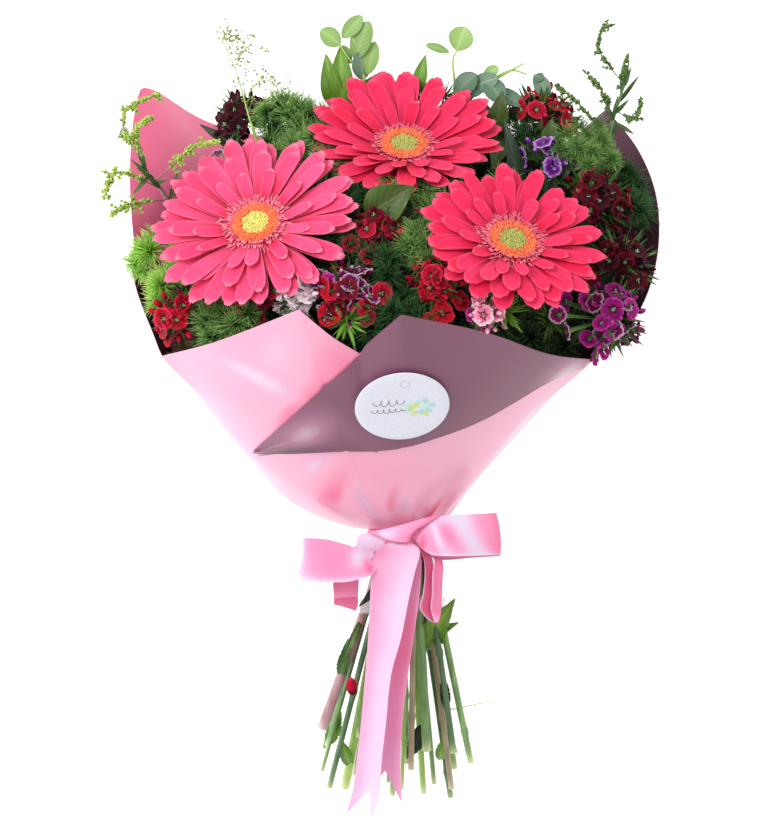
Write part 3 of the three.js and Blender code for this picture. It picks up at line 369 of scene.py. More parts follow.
class Heap:
    """Points and faces gathered into one mesh. Each point has marks for its finish: along runs from root to
    tip, across from side to side, and tint is different on each copy; on the films and the ribbon the tint
    carries painted highlights and painted shade. A coat is the number of a finish."""

    def __init__(self):
        self.points, self.marks, self.faces, self.coats = [], [], [], []
        self.size = 0

    def add(self, points, faces, along=0.0, across=0.0, tint=0.0, coats=0):
        """Adds points, their marks and arrays of faces. The coat is one for all, or one for each array."""
        points = np.reshape(points, (-1, 3))
        marks = [np.broadcast_to(np.ravel(m) if np.ndim(m) else m, len(points))
                 for m in (along, across, tint)]
        self.points.append(points)
        self.marks.append(np.stack(marks, axis=1))
        for i, some in enumerate(faces):
            self.faces.append(some + self.size)
            self.coats.append(np.full(len(some), coats if np.ndim(coats) == 0 else coats[i]))
        self.size += len(points)

    def shell(self, grid, thickness, tint=0.0, along=None, across=None, coats=(0, 0), closed=False):
        """A thin sheet over a grid of points, with a front, a back and closed edges."""
        rows, columns = grid.shape[:2]
        many = rows * columns
        half = grid_normals(grid, closed) * np.asarray(thickness)[..., None] / 2
        tint = np.tile(np.ravel(tint), 2) if np.ndim(tint) else tint
        along = np.repeat(np.linspace(0, 1, rows), columns) if along is None else np.ravel(along)
        across = np.tile(np.linspace(-1, 1, columns), rows) if across is None else np.ravel(across)
        front = quads(rows, columns, closed)
        index = np.arange(many).reshape(rows, columns)
        if closed:
            edges = [np.append(index[0], index[0, 0]), np.append(index[-1], index[-1, 0])[::-1]]
        else:
            edges = [np.concatenate([index[0, :-1], index[:-1, -1], index[-1, :0:-1], index[::-1, 0]])]
        rims = [np.stack([e[1:], e[:-1], e[:-1] + many, e[1:] + many], axis=1) for e in edges]
        self.add(np.concatenate([(grid + half).reshape(-1, 3), (grid - half).reshape(-1, 3)]),
                 [front, front[:, ::-1] + many, *rims], np.tile(along, 2), np.tile(across, 2), tint,
                 [coats[0], coats[1], *[coats[0]] * len(rims)])

    def tube(self, points, radii, sides, tint=0.0, coat=0):
        """A round stalk along points, closed at both ends."""
        along = headings(points)
        course = unit(points[-1] - points[0])
        aside = (0.0, 0.0, 1.0) if abs(course[2]) < 0.8 else (1.0, 0.0, 0.0)
        over = unit(np.cross(aside, along))
        up = np.cross(along, over)
        turn = 2 * np.pi * np.arange(sides) / sides
        ring = np.cos(turn)[:, None] * over[:, None] + np.sin(turn)[:, None] * up[:, None]
        grid = points[:, None] + ring * np.broadcast_to(radii, len(points))[:, None, None]
        rows = len(points)
        j = np.arange(sides)
        k = (j + 1) % sides
        first, last = rows * sides, rows * sides + 1
        caps = [np.stack([k, j, np.full(sides, first)], axis=1),
                np.stack([first - sides + j, first - sides + k, np.full(sides, last)], axis=1)]
        marks = np.append(np.repeat(np.linspace(0, 1, rows), sides), (0, 1))
        around = np.append(np.tile(j / sides, rows), (0, 0))
        self.add(np.vstack([grid.reshape(-1, 3), points[:1], points[-1:]]), [quads(rows, sides, True), *caps],
                 marks, around, tint, coat)

    def copies(self, model, at, axes, size, tint, coat):
        """Copies of another heap, each at its own place and turned to its own axes."""
        count = len(at)
        size = np.broadcast_to(size, count)
        points = np.concatenate(model.points)
        placed = np.einsum("pk,nkj->npj", points, axes * size[:, None, None]) + at[:, None]
        marks = np.tile(np.concatenate(model.marks), (count, 1))
        marks[:, 2] += np.repeat(np.broadcast_to(tint, count), len(points))
        step = (np.arange(count) * len(points))[:, None, None]
        faces = [(some[None] + step).reshape(-1, some.shape[1]) for some in model.faces]
        self.add(placed, faces, *marks.T, [coats[0] + coat for coats in model.coats])

    def piece(self, name, finishes, node, crisp=False):
        """The heap as a piece of the bouquet. crisp keeps the edges of thin sheets sharp."""
        mesh = bpy.data.meshes.new(name)
        points, marks = np.concatenate(self.points), np.concatenate(self.marks)
        corners = np.concatenate([some.ravel() for some in self.faces])
        totals = np.concatenate([np.full(len(some), some.shape[1]) for some in self.faces])
        mesh.vertices.add(len(points))
        mesh.vertices.foreach_set("co", points.ravel())
        mesh.loops.add(len(corners))
        mesh.loops.foreach_set("vertex_index", corners.astype(np.int32))
        mesh.polygons.add(len(totals))
        mesh.polygons.foreach_set("loop_start", np.append(0, np.cumsum(totals)[:-1]).astype(np.int32))
        mesh.polygons.foreach_set("material_index", np.concatenate(self.coats).astype(np.int32))
        mesh.update(calc_edges=True)
        mesh.shade_smooth()
        if crisp:
            mesh.set_sharp_from_angle(angle=75 * DEG)
        for i, mark in enumerate(("along", "across", "tint")):
            values = mesh.attributes.new(mark, "FLOAT", "POINT").data
            values.foreach_set("value", marks[:, i].astype(np.float32))
        for finish in finishes:
            mesh.materials.append(finish)
        thing = bpy.data.objects.new(name, mesh)
        bpy.context.collection.objects.link(thing)
        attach(thing, "root")
        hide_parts(node)
        return thing


# --- finishes
def tone(code):
    """A colour code as the linear colour that a shader takes."""
    levels = [int(code[i:i + 2], 16) / 255 for i in (1, 3, 5)]
    return (*[v / 12.92 if v <= 0.04045 else ((v + 0.055) / 1.055) ** 2.4 for v in levels], 1.0)


class Shade:
    """A value on its way through a finish, which can be used in sums."""

    def __init__(self, finish, socket):
        self.finish, self.socket = finish, socket

    def sum(self, operation, *values):
        """The result of an operation on values, as a new shade."""
        return self.finish.node("Math", {"operation": operation}, dict(enumerate(values)))

    def __add__(self, other):
        return self.sum("ADD", self, other)

    def __sub__(self, other):
        return self.sum("SUBTRACT", self, other)

    def __rsub__(self, other):
        return self.sum("SUBTRACT", other, self)

    def __mul__(self, other):
        return self.sum("MULTIPLY", self, other)

    def __pow__(self, other):
        return self.sum("POWER", self, other)

    def size(self):
        """The value without its sign."""
        return self.sum("ABSOLUTE", self)

    def wave(self):
        """The sine of the value."""
        return self.sum("SINE", self)

    __radd__ = __add__
    __rmul__ = __mul__


class Finish:
    """A material. Its surface values are the same all over, and what varies is fed in by feed()."""

    def __init__(self, name, **surface):
        self.material = bpy.data.materials.new(name)
        self.material.use_nodes = True
        self.tree = self.material.node_tree
        self.shader = self.tree.nodes["Principled BSDF"]
        for socket, value in surface.items():
            self.shader.inputs[socket.replace("_", " ")].default_value = value

    def node(self, kind, settings=None, sockets=None, output=0):
        """A node of a kind: its settings are made first, then the values or links of its sockets."""
        made = self.tree.nodes.new("ShaderNode" + kind)
        for name, value in (settings or {}).items():
            if name == "stops":
                self.set_stops(made.color_ramp.elements, value)
            else:
                setattr(made, name, value)
        for key, value in (sockets or {}).items():
            if isinstance(value, Shade):
                self.tree.links.new(value.socket, made.inputs[key])
            else:
                made.inputs[key].default_value = value
        return Shade(self, made.outputs[output])

    @staticmethod
    def set_stops(elements, stops):
        """Sets a ramp's colours at their places. A new ramp has two stops already."""
        for i, (place, colour) in enumerate(stops):
            stop = elements[i] if i < 2 else elements.new(place)
            stop.position = place
            stop.color = tone(colour)

    def mark(self, name):
        """One of the marks that each point of a heap has."""
        return self.node("Attribute", {"attribute_name": name}, output="Fac")

    def ramp(self, factor, *stops):
        """Colours at places along a factor, blended between them."""
        return self.node("ValToRGB", {"stops": stops}, {0: factor})

    def noise(self, scale, detail=3.0, stretch=(1, 1, 1)):
        """Cloudy noise from 0 to 1, as many clouds in a metre as the scale says."""
        place = self.node("TexCoord", output="Object")
        place = self.node("Mapping", {}, {"Vector": place, "Scale": stretch})
        return self.node("TexNoise", {}, {"Vector": place, "Scale": scale, "Detail": detail})

    def mix(self, factor, a, b):
        """One colour over another by a factor."""
        a, b = (tone(c) if isinstance(c, str) else c for c in (a, b))
        return self.node("Mix", {"data_type": "RGBA"}, {0: factor, 6: a, 7: b}, 2)

    def feed(self, height=None, strength=0.3, depth=0.0003, **sockets):
        """Links what varies to the shader, with any height as a bump, and gives back the material."""
        for socket, value in sockets.items():
            self.tree.links.new(value.socket, self.shader.inputs[socket.replace("_", " ")])
        if height is not None:
            bump = self.node("Bump", {}, {"Strength": strength, "Distance": depth, "Height": height})
            self.tree.links.new(bump.socket, self.shader.inputs["Normal"])
        return self.material


def film_finish(name, deep, base, soft, pale, coat, roughness):
    """Coloured wrapping film with a soft gloss. Its tint mark paints highlights and shade into its colour:
    the deep colour is painted shade, the pale one painted highlight.
    """
    f = Finish(name, Coat_Roughness=0.1, Coat_Weight=coat, IOR=1.45)
    cloud = f.noise(9, 2)
    fine = f.noise(260, 2)
    shade = f.mark("tint") + (cloud - 0.5) * 0.3
    colour = f.ramp(shade, (0.0, deep), (0.45, base), (0.7, soft), (1.0, pale))
    return f.feed(Base_Color=colour, Roughness=fine * 0.06 + (roughness - 0.03), height=cloud + fine * 0.03,
                  strength=0.3, depth=0.001)


def satin_finish():
    """Pink satin: threads across it give a long soft gleam. Its tint mark paints highlights where the folds
    would shine and shade where they would lie in shadow.
    """
    f = Finish("satin", Sheen_Weight=0.1, Sheen_Roughness=0.35, Coat_Weight=0.1, Coat_Roughness=0.3)
    cloud = f.noise(60, 2)
    threads = (f.mark("along") * 2600).wave()
    edge = f.mark("across").size()
    shade = f.mark("tint") + (cloud - 0.5) * 0.16
    colour = f.ramp(shade, (0.0, "#c83e6c"), (0.25, "#e86c96"), (0.5, "#ee8eb6"), (0.75, "#e9b0d2"),
                    (1.0, "#dfcde4"))
    # Painted highlight: a paler line along both edges of the ribbon.
    colour = f.mix((edge ** 40) * 0.4, colour, "#ecc8de")
    return f.feed(Base_Color=colour, Roughness=0.4 + cloud * 0.1, height=threads * 0.4 + cloud, strength=0.1,
                  depth=0.0002)


def gerbera_finish(name, root, middle, tip, rare):
    """A ray petal: deeper at its root, paler at its tip and edges, with fine lengthwise veins."""
    f = Finish(name, Subsurface_Weight=0.1, Subsurface_Scale=0.003, Subsurface_Radius=(1.0, 0.2, 0.25),
               Specular_IOR_Level=0.15)
    along, across, tint = f.mark("along"), f.mark("across"), f.mark("tint")
    veins = (across * 34).wave() * 0.5 + 0.5
    colour = f.ramp(along, (0.0, root), (0.2, root), (0.6, middle), (0.9, middle), (1.0, tip))
    colour = f.mix(tint * 0.5, colour, rare)
    colour = f.mix(veins * 0.16, colour, root)
    colour = f.mix((across.size() ** 8) * 0.35, colour, tip)
    return f.feed(Base_Color=colour, Roughness=0.55 + f.noise(500, 2) * 0.1, height=veins, strength=0.25,
                  depth=0.0003)


def velvet_finish(name, eye, middle, edge, edge_from):
    """A sweet william petal: an eye in the middle, a velvety face and a rim that may be paler."""
    f = Finish(name, Specular_IOR_Level=0.1)
    along, across, tint = f.mark("along"), f.mark("across"), f.mark("tint")
    rays = (across * 26).wave() * 0.5 + 0.5
    speckle = f.noise(700, 3)
    reach = along + (speckle - 0.5) * 0.16 + rays * 0.04
    colour = f.ramp(reach, (0.0, eye), (0.22, eye), (0.42, middle), (edge_from, middle), (1.0, edge))
    colour = f.mix(tint * 0.55, colour, eye)
    return f.feed(Base_Color=colour, Roughness=0.62 + speckle * 0.12, height=rays, strength=0.3, depth=0.0003)


def needle_finish(name, root, middle, tip):
    """Fine soft needles, paler towards their tips."""
    f = Finish(name, Specular_IOR_Level=0.15)
    along, tint = f.mark("along"), f.mark("tint")
    colour = f.ramp(along, (0.0, root), (0.4, middle), (1.0, tip))
    return f.feed(Base_Color=f.mix(tint * 0.5, colour, root), Roughness=0.5 + along * 0.1)


def leaf_finish(name, vein, blade, edge):
    """A waxy leaf with a midrib and veins that run out towards the tip."""
    f = Finish(name, Coat_Weight=0.12, Coat_Roughness=0.25, Specular_IOR_Level=0.3)
    along, across, tint = f.mark("along"), f.mark("across"), f.mark("tint")
    side = across.size()
    ribs = (along * 46 - side * 16).wave() * 0.5 + 0.5
    midrib = (1 - side) ** 14
    mottle = f.noise(160, 3)
    colour = f.ramp(side + (mottle - 0.5) * 0.5, (0.1, blade), (1.0, edge))
    colour = f.mix((ribs ** 6) * 0.25 + midrib * 0.7, colour, vein)
    colour = f.mix(tint * 0.5, colour, "#23381c")
    return f.feed(Base_Color=colour, Roughness=0.38 + mottle * 0.15, height=ribs * 0.5 + midrib,
                  strength=0.35, depth=0.0003)


def stem_finish(name, skin, shade, cut):
    """A fresh stem: streaked lengthwise, with a paler end where it was cut."""
    f = Finish(name, Coat_Weight=0.15, Coat_Roughness=0.3)
    along, tint = f.mark("along"), f.mark("tint")
    streak = f.noise(260, 3, (1, 0.05, 1))
    colour = f.mix(tint, f.ramp(streak, (0.35, skin), (0.7, shade)), shade)
    colour = f.mix((1 - along) ** 90, colour, cut)
    return f.feed(Base_Color=colour, Roughness=0.42 + streak * 0.12, height=streak, strength=0.25,
                  depth=0.0004)


def grain_finish(name, low, high, tip=None):
    """Small buds, seeds and disc florets: one tone at the foot and another at the tip."""
    f = Finish(name)
    along, tint = f.mark("along"), f.mark("tint")
    grain = f.noise(1500, 2)
    colour = f.ramp(along + (grain - 0.5) * 0.3, (0.0, low), (0.6, high), (1.0, tip or high))
    return f.feed(Base_Color=f.mix(tint * 0.5, colour, low), Roughness=0.5 + grain * 0.15, height=grain,
                  strength=0.2, depth=0.0002)


def card_finish():
    """Pale matt card with fine fibres."""
    f = Finish("card", Coat_Weight=0.08, Coat_Roughness=0.4)
    fibre = f.noise(700, 4)
    return f.feed(Base_Color=f.ramp(fibre, (0.3, "#e2e3ee"), (0.7, "#d9d9e4")), Roughness=0.5 + fibre * 0.1,
                  height=fibre, strength=0.1, depth=0.0001)


def ink_finish(name, colour):
    """Printed ink, a little uneven."""
    f = Finish(name)
    grain = f.noise(1200, 2)
    return f.feed(Base_Color=f.mix(grain * 0.3, colour, "#f4f4f8"), Roughness=0.5 + grain * 0.1)


def tape_finish():
    """Clear glossy tape: mostly seen by its gleam."""
    f = Finish("clear_tape", Coat_Weight=1.0, Coat_Roughness=0.05, Roughness=0.12)
    cloud = f.noise(120, 2)
    return f.feed(Base_Color=f.ramp(cloud, (0.3, "#ffffff"), (0.7, "#e9eef0")), Alpha=cloud * 0.3 + 0.05,
                  height=cloud, strength=0.4, depth=0.0008)


FLORET_TONES = {
    "burgundy": ("#16030a", "#3c0a1a", "#5a1028"), "darkred": ("#1e030c", "#64081c", "#8a1430"),
    "crimson": ("#5a0618", "#b4102e", "#d83858"), "red": ("#6c0412", "#c60c28", "#e43048"),
    "violet": ("#3c0c52", "#7a1c9a", "#d0a8e0"), "magenta": ("#4a0638", "#a8147c", "#d850b4"),
    "plum": ("#38082c", "#7c1058", "#e8c4dc"), "white": ("#c98aa2", "#f0e4ea", "#fdf8fa"),
    "blush": ("#bd1a5c", "#f08fb4", "#fbe4ee"),
}
# Where a petal's rim begins, for the florets with a broad pale one.
BROAD_RIM = {"violet": 0.7, "plum": 0.78, "blush": 0.6}
NARROW_RIM = 0.82
VELVET = {key: velvet_finish(key + "_petal", *colours, BROAD_RIM.get(key, NARROW_RIM))
          for key, colours in FLORET_TONES.items()}
NEEDLES = {
    "fern": needle_finish("fern_needle", "#2e4c1e", "#689848", "#acd47c"),
    "lime": needle_finish("lime_needle", "#60982a", "#9cd84c", "#d0f488"),
    "deepgreen": needle_finish("dark_needle", "#122012", "#2c4e28", "#54804a"),
}
PETAL = {
    "rose": gerbera_finish("rose_petal", "#d01038", "#f04474", "#f88ea8", "#f46898"),
    "coral": gerbera_finish("coral_petal", "#c00430", "#ea2650", "#f46484", "#f04074"),
}
LEAF = {
    "olive": leaf_finish("olive_leaf", "#6c8038", "#3c4c1c", "#4c6626"),
    "bright": leaf_finish("bright_leaf", "#a8cc5c", "#72a030", "#5a8a28"),
    "bract": leaf_finish("bract", "#8cb05c", "#4a7430", "#2e5222"),
    "shade": leaf_finish("shade_leaf", "#48643c", "#1c3420", "#14281c"),
}
STEM = {
    "green": stem_finish("green_stem", "#8cb46c", "#5a7e4c", "#dce4ac"),
    "pale": stem_finish("pale_stem", "#bcd878", "#8cb454", "#e8f0b8"),
    "dark": stem_finish("dark_stem", "#648c5c", "#40603e", "#b8cc90"),
    "brown": stem_finish("brown_stem", "#ac9c7c", "#7c7458", "#d8c8a8"),
    "mauve": stem_finish("mauve_stem", "#c49ca0", "#94686c", "#d8bcb4"),
}
STALK_TONES = ("green", "dark", "pale", "brown", "green", "dark", "green")

# The films' deep colours are painted shade and their pale ones painted highlight. The shaded plum film is a
# darker copy of the plum film: painted shade on the inside of the outer sheet.
PINK_FILM = film_finish("pink_film", "#ee7096", "#f2aac4", "#e8aeca", "#e6d0e2", 0.3, 0.38)
ROSE_FILM = film_finish("rose_film", "#c84068", "#f0648e", "#f47ca0", "#f8b0c8", 0.1, 0.42)
SHADED_FILM = film_finish("shaded_plum_film", "#1c0a12", "#482032", "#704458", "#b094a4", 0.05, 0.45)
PLUM_FILM = film_finish("plum_film", "#3a1828", "#7a4a60", "#a8748c", "#e4d4de", 0.1, 0.42)
STIGMA = grain_finish("stigma", "#f3d9e6", "#fff4fa")
DISC_BUD = {"rose": grain_finish("yellow_bud", "#c8bc48", "#e6dc5c", "#f5ef9c"),
            "coral": grain_finish("olive_bud", "#86883a", "#b4b44c", "#d2d07c")}
DISC_FLORET = grain_finish("disc_floret", "#c8202c", "#e85038", "#f49450")
TRANS_FLORET = {"rose": grain_finish("rose_floret", "#d81848", "#f4587e", "#ffc0cc"),
                "coral": grain_finish("coral_floret", "#c01038", "#e8486a", "#ffa4b0")}
YOUNG_GUM_LEAF = leaf_finish("young_gum_leaf", "#c0dc98", "#98c06c", "#88b060")
GUM_LEAF = leaf_finish("gum_leaf", "#98ac90", "#64866c", "#587a60")
GOLDENROD_BUD = {"goldenrod_left": grain_finish("goldenrod_bud", "#5c8426", "#a0c040", "#d4e478"),
                 "goldenrod_right": grain_finish("green_bud", "#2c4420", "#587c34", "#8cac50")}
GRASS_SEED = grain_finish("grass_seed", "#5c6c2c", "#a4bc54", "#d8e69c")


# --- the stems' lines
def all_plants():
    """Every plant of the bouquet with the radius of its stem and where it passes the tie."""
    plants = {g["name"]: (g["at"], 2.5, g["cut"]) for g in GERBERAS}
    plants |= {f"sweet_william_{i + 1}": (at, 1.6, cut) for i, (_, at, _, cut) in enumerate(SWEET_WILLIAMS)}
    plants |= {f"fern_{i + 1}": (tufts[0], 1.1, cut) for i, (_, tufts, cut) in enumerate(FERNS)}
    plants |= {leafy["name"]: (leafy["base"], 1.3, leafy["cut"]) for leafy in LEAFY}
    plants |= {e["name"]: (e["path"][0], 1.7, e["cut"]) for e in EUCALYPTUS}
    plants |= {g["name"]: (g["base"], g["stem"], g["cut"]) for g in GOLDENRODS}
    plants[GRASS["name"]] = (GRASS["base"], 0.9, GRASS["cut"])
    return {key: {"at": at, "radius": radius * MM, "cut": cut * MM}
            for key, (at, radius, cut) in plants.items()}


PLANTS = all_plants()
BUNDLE = 13.2 * MM  # how wide the heads' layout is when it is shrunk into the neck
# How the stems splay below the tie: how much wider and higher apart they end, their twist, how much they fall
# for their length, and the length over which they do all this.
SPLAY = {"x": 3.7, "z": 2.8, "twist": 20 * DEG, "fall": 0.335, "length": 150 * MM}
# Easing the stems apart in the neck: rounds, the room between two stems, and the share made up in a round.
EASE = {"rounds": 400, "room": 0.75 * MM, "share": 0.3}
ROUNDING = 5  # points over which the bends of a stem are rounded


def ease_apart():
    """The heads' own layout shrunk into the neck, then eased apart until no two stems touch."""
    plants = list(PLANTS.values())
    for p in plants:
        ray = p["at"] - TIE
        p["slot"] = [BUNDLE * ray[0] / ray[1], BUNDLE * ray[2] / ray[1]]
    for _ in range(EASE["rounds"]):
        for p in plants:
            own = p["slot"]
            for q in plants:
                if p is q:
                    continue
                dx, dz = own[0] - q["slot"][0], own[1] - q["slot"][1]
                apart = math.hypot(dx, dz)
                short = p["radius"] + q["radius"] + EASE["room"] - apart
                if short > 0:
                    own[0] += dx / apart * short * EASE["share"]
                    own[1] += dz / apart * short * EASE["share"]
            room = NECK - INNER["inward"] - p["radius"] - GAP
            out = math.hypot(*own)
            if out > room:
                own[:] = [own[0] * room / out, own[1] * room / out]


ease_apart()


def stem_line(key, head):
    """The stem's line from its cut end through the tie to the head, rounded where it bends."""
    p = PLANTS[key]
    x, z = p["slot"]
    turned_x = x * math.cos(SPLAY["twist"]) - z * math.sin(SPLAY["twist"])
    turned_z = x * math.sin(SPLAY["twist"]) + z * math.cos(SPLAY["twist"])
    share = p["cut"] / SPLAY["length"]
    wide, high = (1 + (SPLAY[k] - 1) * share for k in ("x", "z"))
    end = np.array([TIE[0] + wide * (x + (turned_x - x) * share), TIE[1] - p["cut"],
                    TIE[2] - SPLAY["fall"] * p["cut"] + high * (z + (turned_z - z) * share)])
    end = ENDS.get(key, end)
    end[2] = max(end[2], p["radius"])
    corners = [end, TIE + (x, -SKIRT - 1 * MM, z), TIE + (x, 3 * MM, z), head]
    run = np.concatenate([[0], np.cumsum([math.dist(a, b) for a, b in zip(corners, corners[1:])])])
    steps = np.linspace(0, run[-1], max(int(run[-1] / (3 * MM)), 12))
    line = points_at(steps, run, corners)
    window = np.ones(ROUNDING) / ROUNDING
    soft = np.pad(line, ((ROUNDING // 2,) * 2, (0, 0)), mode="edge")
    soft = np.stack([np.convolve(soft[:, i], window, "valid") for i in range(3)], axis=1)
    soft[0], soft[-1] = line[0], line[-1]
    return soft


def add_stem(heap, key, head, sides=8, tint=0.4, coat=0):
    """The stem of a plant up to its head. Gives back its line."""
    line = stem_line(key, head)
    heap.tube(line, PLANTS[key]["radius"], sides, tint, coat)
    return line


# --- the wrapping
def rim_curve():
    """The outer sheet's rim, smooth between its corners, with the angle of each point round the axis."""
    ring = np.vstack([RIM, RIM[:1]])
    runs = [through(ring[a:b + 1], 14 * (b - a) + 1)[:-1] for a, b in zip(RIM_CORNERS, RIM_CORNERS[1:])]
    curve = np.vstack([*runs, RIM[:1]])
    return np.unwrap(np.arctan2(curve[:, 0] - TIE[0], curve[:, 2] - TIE[2])), curve


def swell_power(angle):
    """The sheet bells out at its left and runs straight at its right."""
    return 0.82 + 0.28 * np.sin(angle)


def fullness():
    """How far the sheet opens for its height, at each degree round the axis: exactly, and evened out."""
    turn = np.radians(np.arange(360))
    turned = RIM_ANGLES[0] + np.mod(turn - RIM_ANGLES[0], 2 * np.pi)
    rim = points_at(turned, RIM_ANGLES, RIM_CURVE) - TIE
    exact = (np.hypot(rim[:, 0], rim[:, 2]) - NECK) / rim[:, 1] ** swell_power(turn)
    window = mound(np.arange(-EVENING, EVENING + 1), 0, EVENING / 2)
    ring = np.concatenate([exact[-EVENING:], exact, exact[:EVENING]])
    soft = np.convolve(ring, window / window.sum(), "valid")
    return np.append(soft / exact, soft[0] / exact[0])


RIM_ANGLES, RIM_CURVE = rim_curve()
FULLNESS = fullness()


def pleat_height(angle, reach):
    """How far the gathered sheet stands out: ridges that fade towards the rim, and a crimp at the tie."""
    total = 0.5 * MM * np.sin(17 * angle) * np.exp(-np.abs(reach) / 0.08)
    for degrees, width, height, far in PLEATS:
        wide = width * (0.8 + 1.2 * np.maximum(reach, 0))
        fade = ease(reach / 0.08) * (1 - ease(reach / far))
        total = total + height * MM * mound(degrees_off(angle, degrees), 0, wide) * fade
    return total


def on_sheet(angle, reach, out=0.0):
    """Points of the outer sheet at angles round its axis and reaches from the tie (0) to the rim (1)."""
    angle, reach, out = np.broadcast_arrays(np.asarray(angle, float), reach, out)
    turned = RIM_ANGLES[0] + np.mod(angle - RIM_ANGLES[0], 2 * np.pi)
    rim = points_at(turned, RIM_ANGLES, RIM_CURVE)
    ray = np.stack([np.sin(angle), 0 * angle, np.cos(angle)], axis=-1)
    neck = TIE + NECK * ray
    up = np.maximum(reach, 0)
    even = np.interp(np.mod(angle / DEG, 360), np.arange(361), FULLNESS)
    swell = up ** swell_power(angle) * (even + (1 - even) * ease((up - 0.7) / 0.3))
    points = neck + (rim - neck) * np.stack([swell, up, swell], axis=-1)
    points[..., 1] += SKIRT * np.minimum(reach, 0)
    points += ray * (out + pleat_height(angle, reach))[..., None]
    points[..., 2] = np.maximum(points[..., 2], SHEET - np.minimum(out, SHEET) + FILM)
    return points


def painted_film_light(angle, reach, painted_light_and_shade):
    """Painted light on the film: 0.5 is its own colour, 0 its deepest painted shade and 1 its palest painted
    highlight.
    """
    total = 0.5
    for degrees, middle, width, length, slant, amount, sharp in painted_light_and_shade:
        off = degrees_off(angle, degrees + slant * (reach - middle))
        spread = np.where(off * sharp > 0, SHARP, 1.0) * width
        total = total + amount * mound(off, 0, spread) * mound(reach, middle, length)
    return np.clip(total, 0, 1)


def wrap_rows(top, rows):
    """Reaches from the skirt up to the top of each column, closer together near the tie."""
    share = np.concatenate([[-1, -0.5], np.linspace(0, 1, rows) ** 1.6])[:, None]
    return share * np.where(share > 0, top, 1)


def wrap_outer():
    """The outer sheet, pink outside and plum inside, with its free end lapped over it at its lower left."""
    heap = Heap()
    corners = RIM_ANGLES[[14 * c for c in RIM_CORNERS[:-1]]]
    angles = np.sort(np.mod(np.concatenate([circle(288), corners]), 2 * np.pi))
    reach = wrap_rows(np.ones(len(angles)), 56)
    angle = angles + 0 * reach
    slack = SLACK["height"] * mound(degrees_off(angle, SLACK["degrees"]), 0, SLACK["width"])
    slack = slack * mound(reach, SLACK["reach"], SLACK["length"])
    heap.shell(on_sheet(angle, reach, SHEET / 2 + slack), FILM, painted_film_light(angle, reach, FILM_PAINTED_LIGHT_AND_SHADE),
               coats=(0, 1), closed=True)
    share = np.linspace(0, 1, 25)
    reach = np.linspace(SEAM[0][0], SEAM[-1][0], 44)[:, None] + 0 * share
    angle = np.interp(reach, *np.transpose(SEAM)) * DEG + share * OVERLAP
    out = SHEET * (0.45 + 1.2 * (1 - share) ** 2)
    heap.shell(on_sheet(angle, reach, out), FILM, painted_film_light(angle, reach, FILM_PAINTED_LIGHT_AND_SHADE), coats=(0, 0))
    heap.piece("film_outer", [PINK_FILM, SHADED_FILM], "wrap_outer", crisp=True)


def wrap_inner():
    """The rose sheet that lines the left and the back, with its corner standing up."""
    heap = Heap()
    angles = np.linspace(INNER["from"], INNER["to"], 110)
    away = np.where(angles > INNER["corner"], (angles - INNER["corner"]) / INNER["front"],
                    (INNER["corner"] - angles) / INNER["back"])
    top = INNER["rim"] + (INNER["reach"] - INNER["rim"]) * np.maximum(0, 1 - away)
    reach = wrap_rows(top, 40)
    angle = angles + 0 * reach
    out = SHEET / 2 - INNER["inward"] + INNER["lean"] * ease((reach - 1) / (INNER["reach"] - 1))
    heap.shell(on_sheet(angle, reach, out), FILM, painted_film_light(angle, reach, FILM_PAINTED_LIGHT_AND_SHADE), coats=(0, 1))
    heap.piece("film_inner", [PLUM_FILM, ROSE_FILM], "wrap_inner", crisp=True)


def edge_at(edge, degrees):
    """Reaches where the sheet, seen from above, meets a smooth curve through given degrees and reaches."""
    given = np.transpose(edge)
    curve = through(on_sheet(given[0] * DEG, given[1]), 200)
    tries = np.linspace(0.3, 1, 211)[:, None]
    spots = on_sheet(degrees * DEG, tries)
    above = spots[..., 1] > np.interp(spots[..., 0], curve[:, 0], curve[:, 1])
    return tries[np.argmax(above, axis=0), 0]


def wrap_front():
    """The folded front: rolled over at the rim, lying just off the sheet, with a rounded lip at its left."""
    heap = Heap()
    degrees = np.linspace(FOLD[0][0], FREE_EDGE[-1][0], 141)
    share = np.linspace(0, 1, 49)[:, None]
    top = np.where(degrees < FOLD[1][0], edge_at(FOLD, degrees), FLAP_TOP)
    bottom = np.minimum(edge_at(FREE_EDGE, degrees), top - 0.01)
    window = np.ones(5) / 5
    top, bottom = (np.convolve(np.pad(edge, 2, mode="edge"), window, "valid") for edge in (top, bottom))
    reach = bottom + (top - bottom) * share
    left = ease((-degrees - 22) / 22)
    lip = left * (2.0 * mound(share, 0.3, 0.16) - 1.7 * np.exp(-share / 0.1))
    out = SHEET * (2.0 + 0.9 * (1 - share) ** 3 + lip)
    angle = degrees * DEG + 0 * share
    # Painted shade deepens the rolled lip at the left, and the flap's gleams are painted highlights and
    # painted shade.
    tint = painted_film_light(angle, reach, FLAP_PAINTED_LIGHT_AND_SHADE) - 0.5 * left * mound(share, 0.06, 0.14)
    heap.shell(on_sheet(angle, reach, out), FILM, np.clip(tint, 0, 1), coats=(0, 1))
    heap.piece("film_folded_front", [PLUM_FILM, PINK_FILM], "wrap_folded_front", crisp=True)


# --- where there is room
def outside_wrap(points, margin=3.5 * MM, below_rim=True):
    """True for the points in or beyond the wrapping: only below its rim, or above it as well."""
    off = points - TIE
    angle = np.arctan2(off[:, 0], off[:, 2])
    reach = off[:, 1] / (on_sheet(angle, 1.0)[:, 1] - TIE[1])
    wall = on_sheet(angle, np.clip(reach, 0, 1)) - TIE
    room = np.hypot(wall[:, 0], wall[:, 2]) - margin
    return (np.hypot(off[:, 0], off[:, 2]) > room) & ((reach < 1) | (not below_rim))


